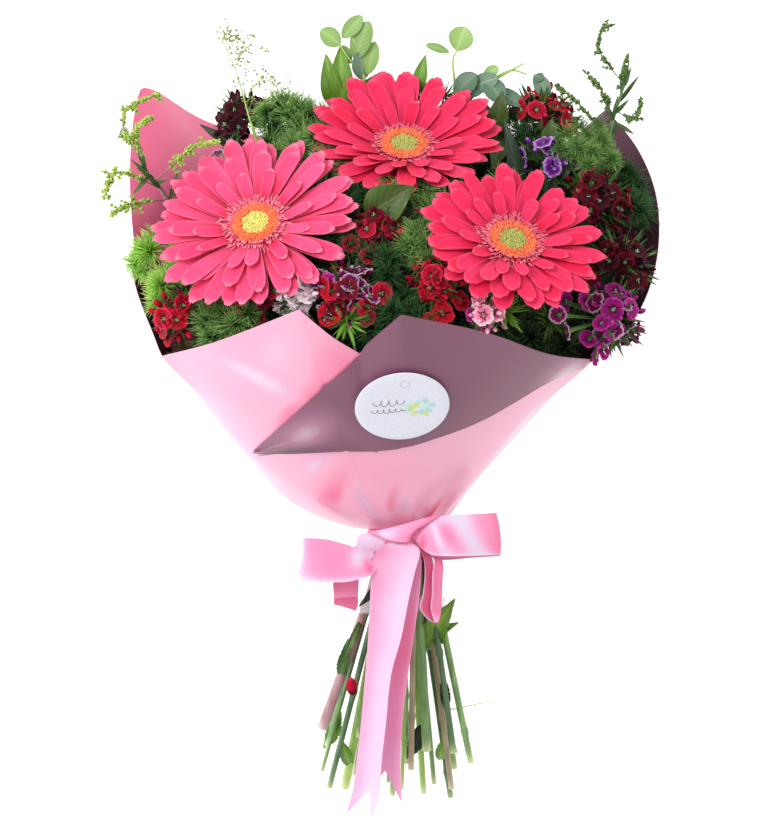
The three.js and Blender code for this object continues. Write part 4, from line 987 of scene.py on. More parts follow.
def through_petals(tips):
    """True for the needle tips that pierce or cover the petals of a gerbera, but not for those far above."""
    pierced = np.zeros(len(tips), bool)
    for g in GERBERAS:
        off = tips - g["at"]
        up = off @ unit(g["facing"])
        out = np.linalg.norm(off - up[:, None] * unit(g["facing"]), axis=1)
        height = up - out * math.tan(g["cup"])
        pierced |= (out < g["radius"] + MM) & (height > -PETAL_ROOM[0]) & (height < PETAL_ROOM[1])
    return pierced


def covered(point):
    """True where a flower head already fills the place."""
    for g in GERBERAS:
        off = point - g["at"]
        up = off @ unit(g["facing"])
        if -3 * MM < up < 20 * MM and np.linalg.norm(off - up * unit(g["facing"])) < g["radius"] * 0.95:
            return True
    return any(np.linalg.norm(point - at) < radius * MM * 0.85 for _, at, radius, _ in SWEET_WILLIAMS)


def nearest(spot, places):
    """The number of the place nearest to a spot, and how far it is."""
    far = np.linalg.norm(np.array([at for _, at in places]) - spot, axis=1)
    return places[far.argmin()][0], far.min()


def dome_points(count, depth):
    """Places spread over the dome of flowers, a little under its surface, where no head stands."""
    heads = [g["at"] for g in GERBERAS] + [s[1] for s in SWEET_WILLIAMS]
    tufts = [tuft for _, tufts, _ in FERNS for tuft in tufts]
    rays = np.array([*heads, *tufts, *DOME_MARKS]) - HEART
    far = np.linalg.norm(rays, axis=1)
    towards = unit(rays)
    spots = []
    for k in range(count):
        height = 1 - 2 * (k + 0.5) / count
        flat = math.sqrt(1 - height**2)
        way = np.array([flat * math.cos(GOLDEN * k), height, flat * math.sin(GOLDEN * k)])
        near = towards @ way
        if way[1] < DOME["lowest"] or near.max() < math.cos(DOME["near"]):
            continue
        weight = np.exp((near - 1) / DOME["sharp"])
        spot = HEART + way * ((weight * far).sum() / weight.sum() * depth)
        if not covered(spot) and not outside_wrap(spot[None], 9 * MM)[0]:
            spots.append(spot)
    return spots


# --- the card
def card():
    """A stiff round card with a rounded edge, a punched eye near its top, and a printed flourish and posy."""
    angle, reach, stand = CARD["angle"], CARD["reach"], CARD["stand"]
    middle = on_sheet(angle, reach, stand)
    across = on_sheet(angle + 12 * DEG, reach, stand) - on_sheet(angle - 12 * DEG, reach, stand)
    along = on_sheet(angle, 0.8, stand) - on_sheet(angle, 0.4, stand)
    z = unit(np.cross(across, along))
    x = unit(np.cross((0.0, 1.0, 0.0), z))
    axes = np.stack([x, np.cross(z, x), z])

    def on_card(u, v, w):
        """A point from its place across the card, up it and off it."""
        return middle + np.stack(np.broadcast_arrays(u, v, w), axis=-1) @ axes

    r, t = CARD["radius"], CARD["thickness"]
    heap = Heap()
    profile = [(0.001, t / 2), (0.4, t / 2), (0.8, t / 2), (0.985, t / 2), (1, t / 4), (1, -t / 4),
               (0.985, -t / 2), (0.6, -t / 2), (0.001, -t / 2)]
    turn = circle(96)
    grid = np.stack([on_card(r * share * np.cos(turn), r * share * np.sin(turn), high)
                     for share, high in profile])
    heap.add(grid, [quads(len(profile), len(turn), True)[:, ::-1]])
    eye = circle(32)
    rings = [(CARD["eye"] + CARD["rim"] * math.cos(a), t / 2 + 0.15 * MM * math.sin(a))
             for a in np.linspace(0, np.pi, 7)]
    ring = np.stack([on_card(wide * np.cos(eye), CARD["eye_up"] + wide * np.sin(eye), high)
                     for wide, high in rings])
    heap.add(ring, [quads(len(rings), len(eye), True)], coats=1)
    s = np.linspace(0, 1, 90)
    for foot, height, turns in ((1.5, 2.6, 4.5), (-4.5, 1.5, 6)):
        curl = height * np.sin(2 * np.pi * turns * s) * np.sin(np.pi * s) ** 0.5
        line = on_card((-17 + 19 * s + 0.8 * np.cos(2 * np.pi * turns * s)) * MM, (foot + 2 * s + curl) * MM,
                       t / 2)
        heap.tube(line, 0.2 * MM, 5, coat=5)
    for k in range(CARD["petals"]):
        a = GOLDEN * k
        root = np.array([10 + 1.6 * math.sqrt(k) * math.cos(a), -0.5 + 1.2 * math.sqrt(k) * math.sin(a)])
        tip = root + CARD["petal"] * np.array([math.cos(a), 0.85 * math.sin(a)])
        leaf = flat_leaf(on_card(*root * MM, t / 2), on_card(*tip * MM, t / 2), CARD["petal_width"] * MM,
                         axes[2])
        heap.shell(leaf, 0.12 * MM, coats=(2 + k % 3, 2 + k % 3))
    inks = {"grey_ink": "#b4b8c0", "mint_ink": "#b4e0d4", "lime_ink": "#c4d84c", "teal_ink": "#9cccd0",
            "dark_ink": "#3a3a44"}
    finishes = [card_finish(), *[ink_finish(name, colour) for name, colour in inks.items()]]
    heap.piece("round_card", finishes, "card", crisp=True)


def flat_leaf(root, tip, width, up):
    """A small pointed leaf shape lying flat."""
    t = np.linspace(0, 1, 14)[:, None]
    s = np.linspace(-1, 1, 5)[None]
    along = tip - root
    side = unit(np.cross(up, along))
    half = width / 2 * np.maximum(np.sin(np.pi * t ** 0.8), 0.04) * s
    return root + along * t[..., None] + side * half[..., None] + up * 0.08 * MM


# --- the ribbon
# The turn of ribbon round the neck: how far its middle is below the tie, and half its gathered width.
NECK_BAND = {"below": 6 * MM, "half": 5.5 * MM}
# The turn of ribbon round the knot: the way it runs across the bow, half its width, and its radii.
KNOT_BAND = {"way": (0.86, 0.5, 0.0), "half": 7 * MM, "deep": 5 * MM, "wide": 5.5 * MM}
PUCKER = 0.7 * MM  # the small folds where a length of ribbon leaves the knot
WIDE = 9  # a painted highlight's or painted shade's spread across that takes in the whole width
# The ribbon's lengths: the points along its two edges, how far the middle stands up, in millimetres, the
# depth of the swallowtail as a share of the length, its base tint, which paints the shade or sheen of that
# length, and its painted highlights and shade. Each painted highlight or shade has its place and spread
# along the ribbon, its place and spread across it, its slant and its amount.
RIBBON = {
    "left_loop": (
        mm((0.8, -78.5, 104), (-3.6, -78.5, 107), (-10.2, -77.3, 109), (-18.4, -74.6, 110),
           (-29.4, -71.9, 109), (-39.8, -71.4, 106), (-41.8, -71.4, 102), (-39.9, -72.5, 98),
           (-29.5, -75.5, 95), (-20.5, -78.5, 95), (-13, -76, 96), (-9.4, -69, 98), (4.5, -71.6, 101)),
        mm((-0.3, -86.8, 103), (-4.1, -91.7, 106), (-10.2, -93.8, 108), (-18.4, -95.5, 108),
           (-32.1, -95.5, 107), (-43.7, -94.5, 104), (-45.4, -94.6, 101), (-43.8, -94.1, 97),
           (-32.3, -94.8, 93), (-18.5, -93.7, 93), (-9.1, -89.2, 95), (0.8, -81.4, 99)),
        1.2, 0, 0.5,
        ((0.47, 0.045, 0, WIDE, 0, 0.36), (0.19, 0.05, -0.45, 0.7, 0.03, 0.5),
         (0.12, 0.025, 0.4, 0.6, -0.04, -0.3), (0.3, 0.3, 1, 0.2, 0, 0.35),
         (0.33, 0.1, 0.1, 0.8, 0, -0.06), (0.07, 0.05, -0.7, 0.5, 0, 0.35),
         (0.88, 0.16, -0.5, 1.4, 0, 0.6))),
    "right_loop": (
        mm((18.4, -70.3, 104), (24.9, -64.8, 107), (31.5, -60.3, 109), (39.2, -58.7, 110),
           (52.9, -58.2, 109), (62.8, -57.6, 106), (64.6, -57.7, 102), (63, -58.3, 98), (50.4, -59.5, 95),
           (36.6, -61.7, 95), (25.6, -67.1, 97), (18.4, -71.5, 99)),
        mm((18.4, -71.4, 104), (22.8, -76.3, 106), (28.2, -80.1, 107), (34.3, -81.2, 108),
           (50.2, -81.2, 107), (65.1, -80.7, 104), (66.8, -80.8, 101), (65.2, -81.5, 97),
           (50.4, -82.6, 94), (34.9, -83.7, 95), (25.6, -80.4, 97), (18.4, -75.4, 98)),
        1.2, 0, 0.55,
        ((0.35, 0.036, 0, WIDE, 0.045, 0.42), (0.22, 0.03, 0.1, 1.2, 0.08, 0.4),
         (0.285, 0.03, 0, 0.6, 0.06, -0.12), (0.11, 0.03, 0.5, 0.5, 0, -0.35),
         (0.47, 0.05, 0, WIDE, 0, -0.2), (0.26, 0.07, -0.9, 0.35, 0, 0.28),
         (0.3, 0.25, 1, 0.12, 0, 0.35))),
    "band": (
        mm((-4.6, -68.2, 101), (-2.5, -67.5, 105), (3.5, -66.4, 109), (14.5, -63.6, 111),
           (25.5, -60.3, 110.5), (34.3, -58.7, 109)),
        mm((-4.6, -68.7, 101), (-1.4, -69.4, 105), (5.2, -72.4, 109), (16.1, -73.2, 111),
           (20, -67.4, 110.5), (34.3, -59.3, 109)),
        0.8, 0, 0.5,
        ((0.4, 0.1, 0, 0.9, 0, 0.4), (0.68, 0.09, 0.9, 0.5, 0, -0.4), (0.95, 0.1, 0, WIDE, 0, -0.15))),
    "front_tail": (
        mm((9.6, -73, 106), (3, -75.2, 107), (-1.9, -80.2, 106), (-3.6, -89, 104), (-4.7, -105.5, 101),
           (-5.8, -127.5, 99), (-8, -155.2, 94), (-9.7, -174.6, 90), (-11.9, -194.1, 86),
           (-14.1, -210.8, 83), (-18, -224.2, 81)),
        mm((12.9, -73, 106), (18.9, -74.6, 108), (22.7, -79, 108), (20, -90, 107), (16.7, -104.4, 106),
           (12.3, -126.4, 108), (6.8, -146.8, 107), (4.1, -172.8, 103), (1.9, -192.3, 99),
           (0.2, -211.8, 96), (-4.2, -226.5, 93)),
        1.6, 0.11, 0.7,
        ((0.06, 0.07, 0.9, 0.7, 0, -0.45), (0.1, 0.035, -0.1, 1.2, 0.05, 0.26),
         (0.19, 0.05, -0.9, 0.6, 0, -0.16), (0.36, 0.16, 0.6, 0.5, 0, 0.16),
         (0.42, 0.18, -0.8, 0.4, 0, -0.12), (0.95, 0.3, 0.4, 0.9, 0, 0.1),
         (0.8, 0.2, -0.9, 0.5, 0, -0.06))),
    "rear_tail": (
        mm((9.6, -75.3, 101), (7.4, -81.4, 101), (6.3, -91.8, 99), (4, -105.6, 96), (1, -127.7, 94),
           (-2, -155.3, 90), (-4, -174.8, 86), (-5.5, -194.3, 81), (-5.6, -213, 77)),
        mm((19.5, -75.3, 101), (23.3, -81.4, 101), (23.3, -93.5, 100), (21.7, -110, 98), (19, -127.7, 97),
           (15.1, -155.3, 94), (12.9, -176.5, 90), (12.1, -198.8, 86), (13, -218.3, 82)),
        0.8, 0.1, 0.56,
        ((0.5, 0.12, 0.4, WIDE, 0, -0.14), (0.95, 0.2, 0, WIDE, 0, 0.08))),
    "right_drop": (
        mm((22.2, -76.9, 102), (25, -83.5, 102), (25.5, -91.8, 101), (24.4, -102.3, 100),
           (22.8, -110, 98), (27, -116, 95), (31, -117.8, 94), (32.5, -114.5, 92), (33.5, -105.7, 91),
           (34, -92, 92), (30, -80, 95)),
        mm((27.2, -78.1, 99), (29.4, -83.6, 99), (30.4, -91.9, 98), (29.9, -104.6, 96),
           (29.9, -111.8, 93), (31, -116, 90), (33, -117.8, 88), (34, -114.5, 86), (34.5, -105.7, 84),
           (34.5, -92, 85), (31, -80, 89)),
        0.6, 0, 0.12,
        ((0.3, 0.3, -1, 0.2, 0, 0.75), (0.52, 0.06, 0, WIDE, 0, 0.5))),
    "right_drop_side": (
        mm((27.2, -79.2, 101), (30.5, -83.6, 101), (29.6, -91.9, 101), (29.4, -102.4, 99),
           (28.8, -110.1, 97), (31, -117.9, 95)),
        mm((32.7, -80.4, 99), (35.5, -85.3, 98), (35.2, -95.8, 97), (34.9, -105.7, 95), (33.8, -114.5, 94),
           (32.2, -117.9, 94)),
        0.6, 0, 0.32,
        ((0.5, 0.6, -1, 0.25, 0, 0.5), (0.1, 0.12, 0, WIDE, 0, -0.1), (0.95, 0.1, 0, WIDE, 0, 0.4))),
    "left_drop": (
        mm((-2, -80, 96), (-15, -86.4, 95), (-23.4, -90.4, 94), (-25.1, -96.9, 95), (-24.8, -101.4, 94),
           (-24.6, -105.3, 92), (-23, -98, 89), (-20, -88, 88), (-12, -80, 88)),
        mm((4, -90, 96), (-4, -88.4, 95), (-10.2, -89.2, 95), (-10.8, -94.7, 95), (-11, -99.1, 94),
           (-11.3, -104.2, 92), (-12, -98, 88), (-10, -90, 86), (-2, -84, 86)),
        0.4, 0, 0.34, ((0.55, 0.05, 0, WIDE, 0, 0.1),)),
    "left_drop_under": (
        mm((-24.6, -105.1, 91.5), (-24.8, -106.4, 90), (-24.6, -108.4, 87)),
        mm((-11.3, -104, 91.5), (-11.3, -108.1, 90), (-12.4, -112, 87)),
        0.3, 0, 0.16, ()),
}


def ribbon_strip(heap, left, right, stand, notch, base, painted_light_and_shade):
    """A length of ribbon between its two edges, arched in the middle and perhaps cut to a swallowtail."""
    s = np.linspace(-1, 1, 21)[None]
    t = np.linspace(0, 1, 70)[:, None] * (1 - notch * (1 - np.abs(s)))
    fine = np.linspace(0, 1, 400)
    edges = [points_at(t, fine, through(edge, 400)) for edge in (left, right)]
    share = (s[..., None] + 1) / 2
    grid = edges[0] * (1 - share) + edges[1] * share
    arch = stand * MM * (1 - s**2) + PUCKER * np.cos(9 * s + 1) * np.exp(-t / 0.05)
    grid = grid + grid_normals(grid) * arch[..., None]
    # Painted shade and highlights: the base tint and the listed gleams make the satin deeper or paler where
    # its folds would shade or shine.
    tint = base + 0 * t
    for place, spread, aside, breadth, slant, amount in painted_light_and_shade:
        tint = tint + amount * mound(t - slant * s, place, spread) * mound(s, aside, breadth)
    heap.shell(grid, SATIN, np.clip(tint, 0, 1), along=t, across=s + 0 * t)


def ribbon():
    """The satin ribbon: a neck band, a knot with a band over it, two loops, two drops and two tails."""
    heap = Heap()
    turn = circle(72)
    s = np.linspace(-1, 1, 9)[:, None]
    r = NECK + SHEET + 3 * GAP
    bulge = r + 0.5 * MM * np.cos(s * 9) + 0.4 * MM * np.sin(turn * 5)
    band = np.stack(np.broadcast_arrays(TIE[0] + bulge * np.sin(turn),
                                        TIE[1] - NECK_BAND["below"] + s * NECK_BAND["half"],
                                        TIE[2] + bulge * np.cos(turn)), axis=-1)
    heap.shell(band, SATIN, 0.5, closed=True)
    for length in RIBBON.values():
        ribbon_strip(heap, *length)
    knot_band(heap)
    thing = heap.piece("satin_bow", [satin_finish()], "ribbon", crisp=True)


def knot_band(heap):
    """The ribbon's turn round the knot: a short band gathered into pleats."""
    turn = circle(48)
    s = np.linspace(-1, 1, 15)[:, None]
    pleat = 1 + 0.07 * np.cos(4 * np.pi * s) + 0.03 * np.sin(3 * turn)
    deep, wide = KNOT_BAND["deep"] * pleat, KNOT_BAND["wide"] * pleat
    crown = np.sqrt(np.maximum(1 - (0.62 * s) ** 2, 0))
    slant = unit(KNOT_BAND["way"])
    lift = np.array([-slant[1], slant[0], 0.0])
    up = np.array([0.0, 0.0, 1.0])
    band = KNOT + slant * (s * KNOT_BAND["half"])[..., None]
    band = band + lift * (deep * crown * np.sin(turn))[..., None]
    band = band + up * (wide * crown * np.cos(turn))[..., None]
    heap.shell(band, SATIN, 0.4, closed=True)


# --- the tape
# The tape: how far it is below the tie, its width, how loosely it is wound, and its thickness.
TAPE = {"below": 42 * MM, "width": 8 * MM, "slack": 1.2 * MM, "thickness": 0.15 * MM}


def tape_ring(spots):
    """A loop drawn tight round a few round stems: each spot is x, z and radius."""
    turn = circle(96)
    way = np.stack([np.sin(turn), np.cos(turn)], axis=1)
    far = (spots[:, :2] @ way.T + spots[:, 2:] + TAPE["slack"]).max(axis=0)
    slope = (np.roll(far, -1) - np.roll(far, 1)) / (turn[2] - turn[0])
    aside = np.stack([np.cos(turn), -np.sin(turn)], axis=1)
    return turn, far[:, None] * way + slope[:, None] * aside


def binding_tape():
    """Clear tape wound round the stems, a little crumpled."""
    y = TIE[1] - TAPE["below"]
    spots = []
    for key, p in PLANTS.items():
        line = stem_line(key, p["at"])
        spots.append([*(np.interp(y, line[:, 1], line[:, k]) for k in (0, 2)), p["radius"]])
    turn, ring = tape_ring(np.array(spots))
    s = np.linspace(-1, 1, 11)[:, None]
    crumple = 0.3 * MM * np.sin(9 * turn + 2 * s) + 0.25 * MM * np.sin(16 * turn - 3 * s)
    grid = np.stack(np.broadcast_arrays(
        ring[:, 0] + crumple * np.sin(turn), y + s * TAPE["width"] / 2 + 0.8 * MM * np.sin(2 * turn),
        ring[:, 1] + crumple * np.cos(turn)), axis=-1)
    heap = Heap()
    heap.shell(grid, TAPE["thickness"], closed=True)
    heap.piece("tape_wrap", [tape_finish()], "binding_tape", crisp=True)


# --- models of leaves, needles and florets
LEAF_THICKNESS = 0.35 * MM


def leaf_grid(length, width, rows, columns, arch, pointed=True, teeth=0.0, wave=0.0, fold=0.15):
    """A leaf along +Y with its face to +Z: pointed or round, arched, with a folded midrib and waved edges."""
    t = np.linspace(0, 1, rows)[:, None]
    s = np.linspace(-1, 1, columns)[None]
    rise, fullness_power = (0.75, 0.9) if pointed else (1.1, 0.55)
    outline = np.maximum(np.sin(np.pi * t**rise), 0) ** fullness_power
    outline = np.maximum(outline * (1 + teeth * np.abs(np.sin(9 * np.pi * t))), 0.05)
    half = width / 2 * outline
    x = half * s
    y = length * t * np.ones_like(s)
    z = length * arch * 4 * t * (1 - t) + np.abs(s) * half * fold
    z = z + wave * width * np.sin(7 * t + 3 * s) * np.abs(s)
    return np.stack([x, y, z * np.ones_like(x)], axis=-1)


def bent_axes(root, tip, up):
    """Axes of a leaf that runs along +Y from root to tip with its face towards up."""
    y = unit(tip - root)
    x = unit(np.cross(y, up))
    return np.stack([x, y, np.cross(x, y)])


def add_leaf(heap, root, tip, width, coat, tint, up=(0, 0, 1.0), **shape):
    """A leaf of a given width from root to tip. Its shape is what leaf_grid takes."""
    length = math.dist(root, tip)
    grid = leaf_grid(length, width, **shape) @ bent_axes(root, tip, up) + root
    heap.shell(grid, LEAF_THICKNESS, tint, coats=(coat, coat))


def lower_leaves(heap, key, coats):
    """The leaves that hang on one plant's stem below the tie."""
    line = stem_line(key, PLANTS[key]["at"])
    for plant, y, tip, width, leaf in LOWER_LEAVES:
        if plant == key:
            root = points_at(y * MM, line[:, 1], line)
            add_leaf(heap, root, tip, width * MM, coats[leaf], 0.2, rows=22, columns=9, arch=0.15, wave=0.12,
                     teeth=0.25)


def needle_model(bend):
    """One needle of unit length along +Z."""
    heap = Heap()
    t = np.linspace(0, 1, 4)
    line = np.stack([bend * t**2, 0 * t, t], axis=1)
    heap.tube(line, [0.022, 0.026, 0.02, 0.005], 3)
    return heap


def bract_model():
    """A narrow pointed bract of unit length along +Z, bent outwards."""
    heap = Heap()
    t = np.linspace(0, 1, 6)[:, None]
    s = np.linspace(-1, 1, 3)[None]
    half = 0.085 * np.maximum(np.sin(np.pi * t**0.6), 0.06) * s
    grid = np.stack(np.broadcast_arrays(half, 0.16 * t**2 + np.abs(half) * 0.5, t), axis=-1)
    heap.shell(grid, 0.02)
    return heap


def bud_model():
    """A small rounded bud of unit length along +Z."""
    heap = Heap()
    t = np.linspace(0, 1, 6)
    heap.tube(np.stack([0 * t, 0 * t, t], axis=1), 0.34 * np.sin(np.pi * (0.08 + 0.88 * t)) ** 0.7, 6)
    return heap


def floret_model(luck):
    """A five-petalled floret of unit radius facing +Z, its petals fringed and ruffled."""
    heap = Heap()
    t = np.linspace(0, 1, 6)[:, None]
    s = np.linspace(-1, 1, 9)[None]
    for k in range(5):
        span = 41 * DEG * luck.uniform(0.92, 1.06)
        turn = 2 * np.pi * k / 5 + luck.normal(0, 0.04)
        fringe = 0.09 * np.abs(np.sin(5.5 * np.pi * s / 2 + k))
        reach = 1 - 0.16 * s**4 - fringe + luck.normal(0, 0.03)
        r = 0.07 + t * (reach - 0.07)
        a = turn + span * s * (0.3 + 0.7 * t ** 0.7)
        ruffle = 0.07 * t**2 * np.sin(5 * s + luck.uniform(0, 6)) + 0.05 * t * (1 - t)
        z = ruffle + luck.normal(0.02, 0.05) * t - 0.1 * (1 - t) ** 2
        z = z + 0.012 * (k % 2) + 0.06 * t * s * (-1) ** k
        heap.shell(np.stack([r * np.cos(a), r * np.sin(a), z * np.ones_like(r)], axis=-1), 0.03,
                   luck.uniform(-0.1, 0.1))
    return heap


def stigma_model():
    """Two pale curled stigmas in a floret's eye."""
    heap = Heap()
    for side in (-1, 1):
        t = np.linspace(0, 1, 6)
        line = np.stack([side * (0.04 + 0.12 * t**2), 0.06 * t * side, -0.05 + 0.3 * t - 0.12 * t**2], axis=1)
        heap.tube(line, 0.018, 4)
    return heap


NEEDLE_MODELS = [needle_model(b) for b in (0.05, 0.16, -0.1)]
BRACT_MODEL = bract_model()
BUD_MODEL = bud_model()
FLORET_MODELS = [floret_model(np.random.default_rng(seed)) for seed in range(6)]
STIGMA_MODEL = stigma_model()


# --- gerberas
def ray_petal(heap, frame_at, axes, angle, reach, width, start, lift, luck, tint):
    """One strap-shaped ray petal: narrow at the disc, grooved lengthwise and notched at its tip."""
    t = np.linspace(0, 1, 17)[:, None]
    s = np.linspace(-1, 1, 9)[None]
    half = width / 2 * np.interp(t, *np.transpose(PETAL_OUTLINE))
    length = reach - start
    notch = (0.7 * MM * np.cos(3 * np.pi * s) - 0.8 * MM * s**2) * t**10
    r = start + length * t + notch
    grooves = 0.22 * MM * np.cos(2.5 * np.pi * s) * ease(t / 0.2) * (1 - ease((t - 0.85) / 0.15))
    twist = luck.normal(0, 0.12) * t
    z = lift * length * t - luck.uniform(0.02, 0.1) * length * t**3 + half * s * np.sin(twist) + grooves
    z = z - luck.uniform(-0.25, 0.1) * half * np.abs(s) ** 1.7
    x = half * s * np.cos(twist) + luck.normal(0, 0.045) * t**2 * length
    c, n = math.cos(angle), math.sin(angle)
    grid = np.stack(np.broadcast_arrays(r * c - x * n, r * n + x * c, z), axis=-1)
    heap.shell(grid @ axes + frame_at, 0.4 * MM, tint, along=t + 0 * s, across=s + 0 * t)


def gerbera(g, seed):
    """A gerbera: rings of ray petals, the disc in its green cup and the stem."""
    luck = np.random.default_rng(seed)
    axes = facing_axes(g["facing"])
    heap = Heap()
    for count, share, width, start, steeper, height, turn in PETAL_RINGS:
        for k in range(count):
            angle = 2 * np.pi * (k + turn + luck.normal(0, 0.12)) / count
            reach = g["radius"] * share * luck.uniform(0.94, 1.03)
            lift = g["cup"] + steeper + luck.normal(0, 0.045)
            ray_petal(heap, g["at"] + axes[2] * (height - 0.5) * MM, axes, angle, reach,
                      width * MM * luck.uniform(0.88, 1.06), start * MM, lift, luck, luck.uniform(0, 1))
    heap.piece(g["name"] + "_rays", [PETAL[g["tone"]]], g["name"] + "_petals", crisp=True)
    gerbera_disc(g, axes, luck)
    stem = Heap()
    top = g["at"] - axes[2] * 11.6 * MM
    add_stem(stem, g["name"], top, 12, 0.2)
    stem.piece(g["name"] + "_stalk", [STEM[g["stem"]]], g["name"] + "_stem")


def gerbera_cup(heap, g, axes, luck):
    """The green cup under the disc, with its narrow scales."""
    height = np.linspace(CUP_PROFILE[0][0], CUP_PROFILE[-1][0], 12)
    radii = np.interp(height, *np.transpose(CUP_PROFILE)) * MM
    heap.tube(g["at"] + axes[2] * height[:, None] * MM, radii, 24, coat=3)
    number = np.arange(CUP_SCALES["count"])
    turn = GOLDEN * number
    out = unit(np.stack([np.cos(turn), np.sin(turn), 0.9 + 0 * turn], axis=1))
    foot = np.stack([CUP_SCALES["ring"] * np.cos(turn), CUP_SCALES["ring"] * np.sin(turn),
                     CUP_SCALES["foot"] + CUP_SCALES["step"] * (number % 3)], axis=1)
    heap.copies(BRACT_MODEL, foot @ axes + g["at"], facing_axes(out @ axes, turn * 0), CUP_SCALES["length"],
                luck.uniform(0, 1, len(number)), 3)


def gerbera_disc(g, axes, luck):
    """The cup, the dome of buds, the orange ring of open florets and the thin pink florets round them."""
    heap = Heap()
    gerbera_cup(heap, g, axes, luck)
    number = np.arange(DISC["buds"])
    r = DISC["radius"] * np.sqrt((number + 0.5) / len(number))
    a = GOLDEN * number
    x, y = r * np.cos(a), r * np.sin(a)
    dimple = DISC["dimple"] * mound(r, 0, 4 * MM)
    height = DISC["height"] - DISC["dome"] * (r / (12 * MM)) ** 2 - dimple
    spot = np.stack([x, y, height], axis=1)
    lean = unit(np.stack([x * 40, y * 40, 1 + 0 * r], axis=1) + luck.normal(0, 0.1, (len(number), 3)))
    inner = r < DISC["closed"]
    for chosen, size, coat in ((inner, DISC["closed_bud"], 0), (~inner, DISC["open_bud"], 1)):
        many = chosen.sum()
        heap.copies(BUD_MODEL, spot[chosen] @ axes + g["at"], facing_axes(lean[chosen] @ axes),
                    size * luck.uniform(0.8, 1.25, many), luck.uniform(0, 1, many), coat)
    t = np.linspace(0, 1, 6)
    thick = np.interp(t, [0, 0.6, 0.85, 1], [0.24, 0.34, 0.42, 0.12]) * MM
    for count, start, length, lift in TRANS_RINGS:
        for k in range(count):
            long = length * MM * luck.uniform(0.75, 1.2)
            a = 2 * np.pi * (k + luck.uniform(-0.3, 0.3)) / count + luck.normal(0, 0.1) * t**2
            r = start * MM + long * t * 0.85
            z = 3.0 * MM + long * (lift * t - 0.5 * lift * t**2)
            line = np.stack([r * np.cos(a), r * np.sin(a), z], axis=1) @ axes + g["at"]
            heap.tube(line, thick, 4, luck.uniform(0, 1), 2)
    finishes = [DISC_BUD[g["tone"]], DISC_FLORET, TRANS_FLORET[g["tone"]], LEAF["bract"]]
    heap.piece(g["name"] + "_eye", finishes, g["name"] + "_disc")


# --- sweet williams
def all_strays():
    """The florets that stray from each head: those listed, and those in the gaps near mixed heads."""
    heads = [(i, at) for i, (_, at, _, _) in enumerate(SWEET_WILLIAMS)]
    strays = {i: [(colour, place) for number, colour, place in STRAYS if number == i + 1] for i, _ in heads}
    for count, spot in enumerate(dome_points(GAP_FLORETS["tries"], GAP_FLORETS["depth"])):
        number, far = nearest(spot, heads)
        mixed = MIXED.get(number + 1)
        if mixed and far < GAP_FLORETS["near"] and (spot[0] > GAP_FLORETS["right"] or count % 3):
            strays[number].append((mixed[count % 2], spot))
    return strays


def sweet_william(index, strays):
    """A head of florets and buds over green bristles, its leafy stem, and the florets that stray from it."""
    colour, at, radius, _ = SWEET_WILLIAMS[index]
    key = f"sweet_william_{index + 1}"
    radius = radius * MM
    luck = np.random.default_rng(SEEDS["sweet_william"] + index)
    facing = unit(at - HEART)
    axes = facing_axes(facing, index)
    heap = Heap()
    green = Heap()
    count = max(int(HEAD["crowding"] * (radius / FLORET) ** 2), 3)
    out = fan(count, 98 * DEG, luck, 0.14) @ axes
    own = at + out * radius * luck.uniform(0.55, 0.95, (count, 1))
    spot = np.vstack([own, *[place for _, place in strays]])
    many = len(spot)
    tilt = unit(np.vstack([out, unit(spot[count:] - HEART)]) + luck.normal(0, 0.26, spot.shape))
    size = FLORET * luck.uniform(0.78, 1.08, many)
    spin = luck.uniform(0, 6.28, many)
    tints = luck.uniform(0, 1, many)
    mixed = MIXED.get(index + 1, (colour,))
    colours = [mixed[k % len(mixed)] for k in range(count)] + [other for other, _ in strays]
    shown = sorted(set(colours))
    coats = np.array([shown.index(c) for c in colours])
    for m, model in enumerate(FLORET_MODELS):
        for coat in range(len(shown)):
            pick = (np.arange(many) % len(FLORET_MODELS) == m) & (coats == coat)
            if pick.any():
                heap.copies(model, spot[pick], facing_axes(tilt[pick], spin[pick]), size[pick], tints[pick],
                            coat)
    heap.copies(STIGMA_MODEL, spot, facing_axes(tilt, spin), size, 0.0, len(shown))
    for place, way in zip(spot, tilt):
        foot = at + 0.25 * (place - at)
        calyx = np.stack([foot, foot + (place - foot) * 0.6 - way * MM, place - way * 0.4 * MM])
        green.tube(calyx, mm(0.8, 1.1, 1.5), 6, luck.uniform(0, 1), 1)
    buds = fan(HEAD["buds"], 100 * DEG, luck, 0.2) @ axes
    heap.copies(BUD_MODEL, at + buds * radius * 0.86, facing_axes(buds),
                HEAD["bud"] * luck.uniform(0.7, 1.1, len(buds)), luck.uniform(0.2, 1, len(buds)), coats[0])
    if LOWER_BUD["head"] == index + 1:
        heap.copies(BUD_MODEL, LOWER_BUD["at"][None], facing_axes(np.array([LOWER_BUD["way"]])),
                    LOWER_BUD["size"], 0.3, coats[0])
    head_greens(green, index, axes, luck)
    line = stem_line(key, at - facing * (0.7 * radius + GAP + 1 * MM))
    t = np.linspace(0, 1, len(line))
    knots = mound((t * 5 + 0.3 * index) % 1, 0.5, 0.035)
    green.tube(line, PLANTS[key]["radius"] * (1 + 0.4 * knots), 8, luck.uniform(0, 0.8))
    stem_leaves(green, line, luck)
    lower_leaves(green, key, {"shade": 2, "bright": 3})
    petals = [VELVET[c] for c in shown]
    heap.piece(key + "_head", [*petals, STIGMA], key + "_florets", crisp=True)
    stalk = STEM[STALK_TONES[index % len(STALK_TONES)]]
    green.piece(key + "_stalk", [stalk, LEAF["bract"], LEAF["shade"], LEAF["bright"]],
                key + "_stem", crisp=True)


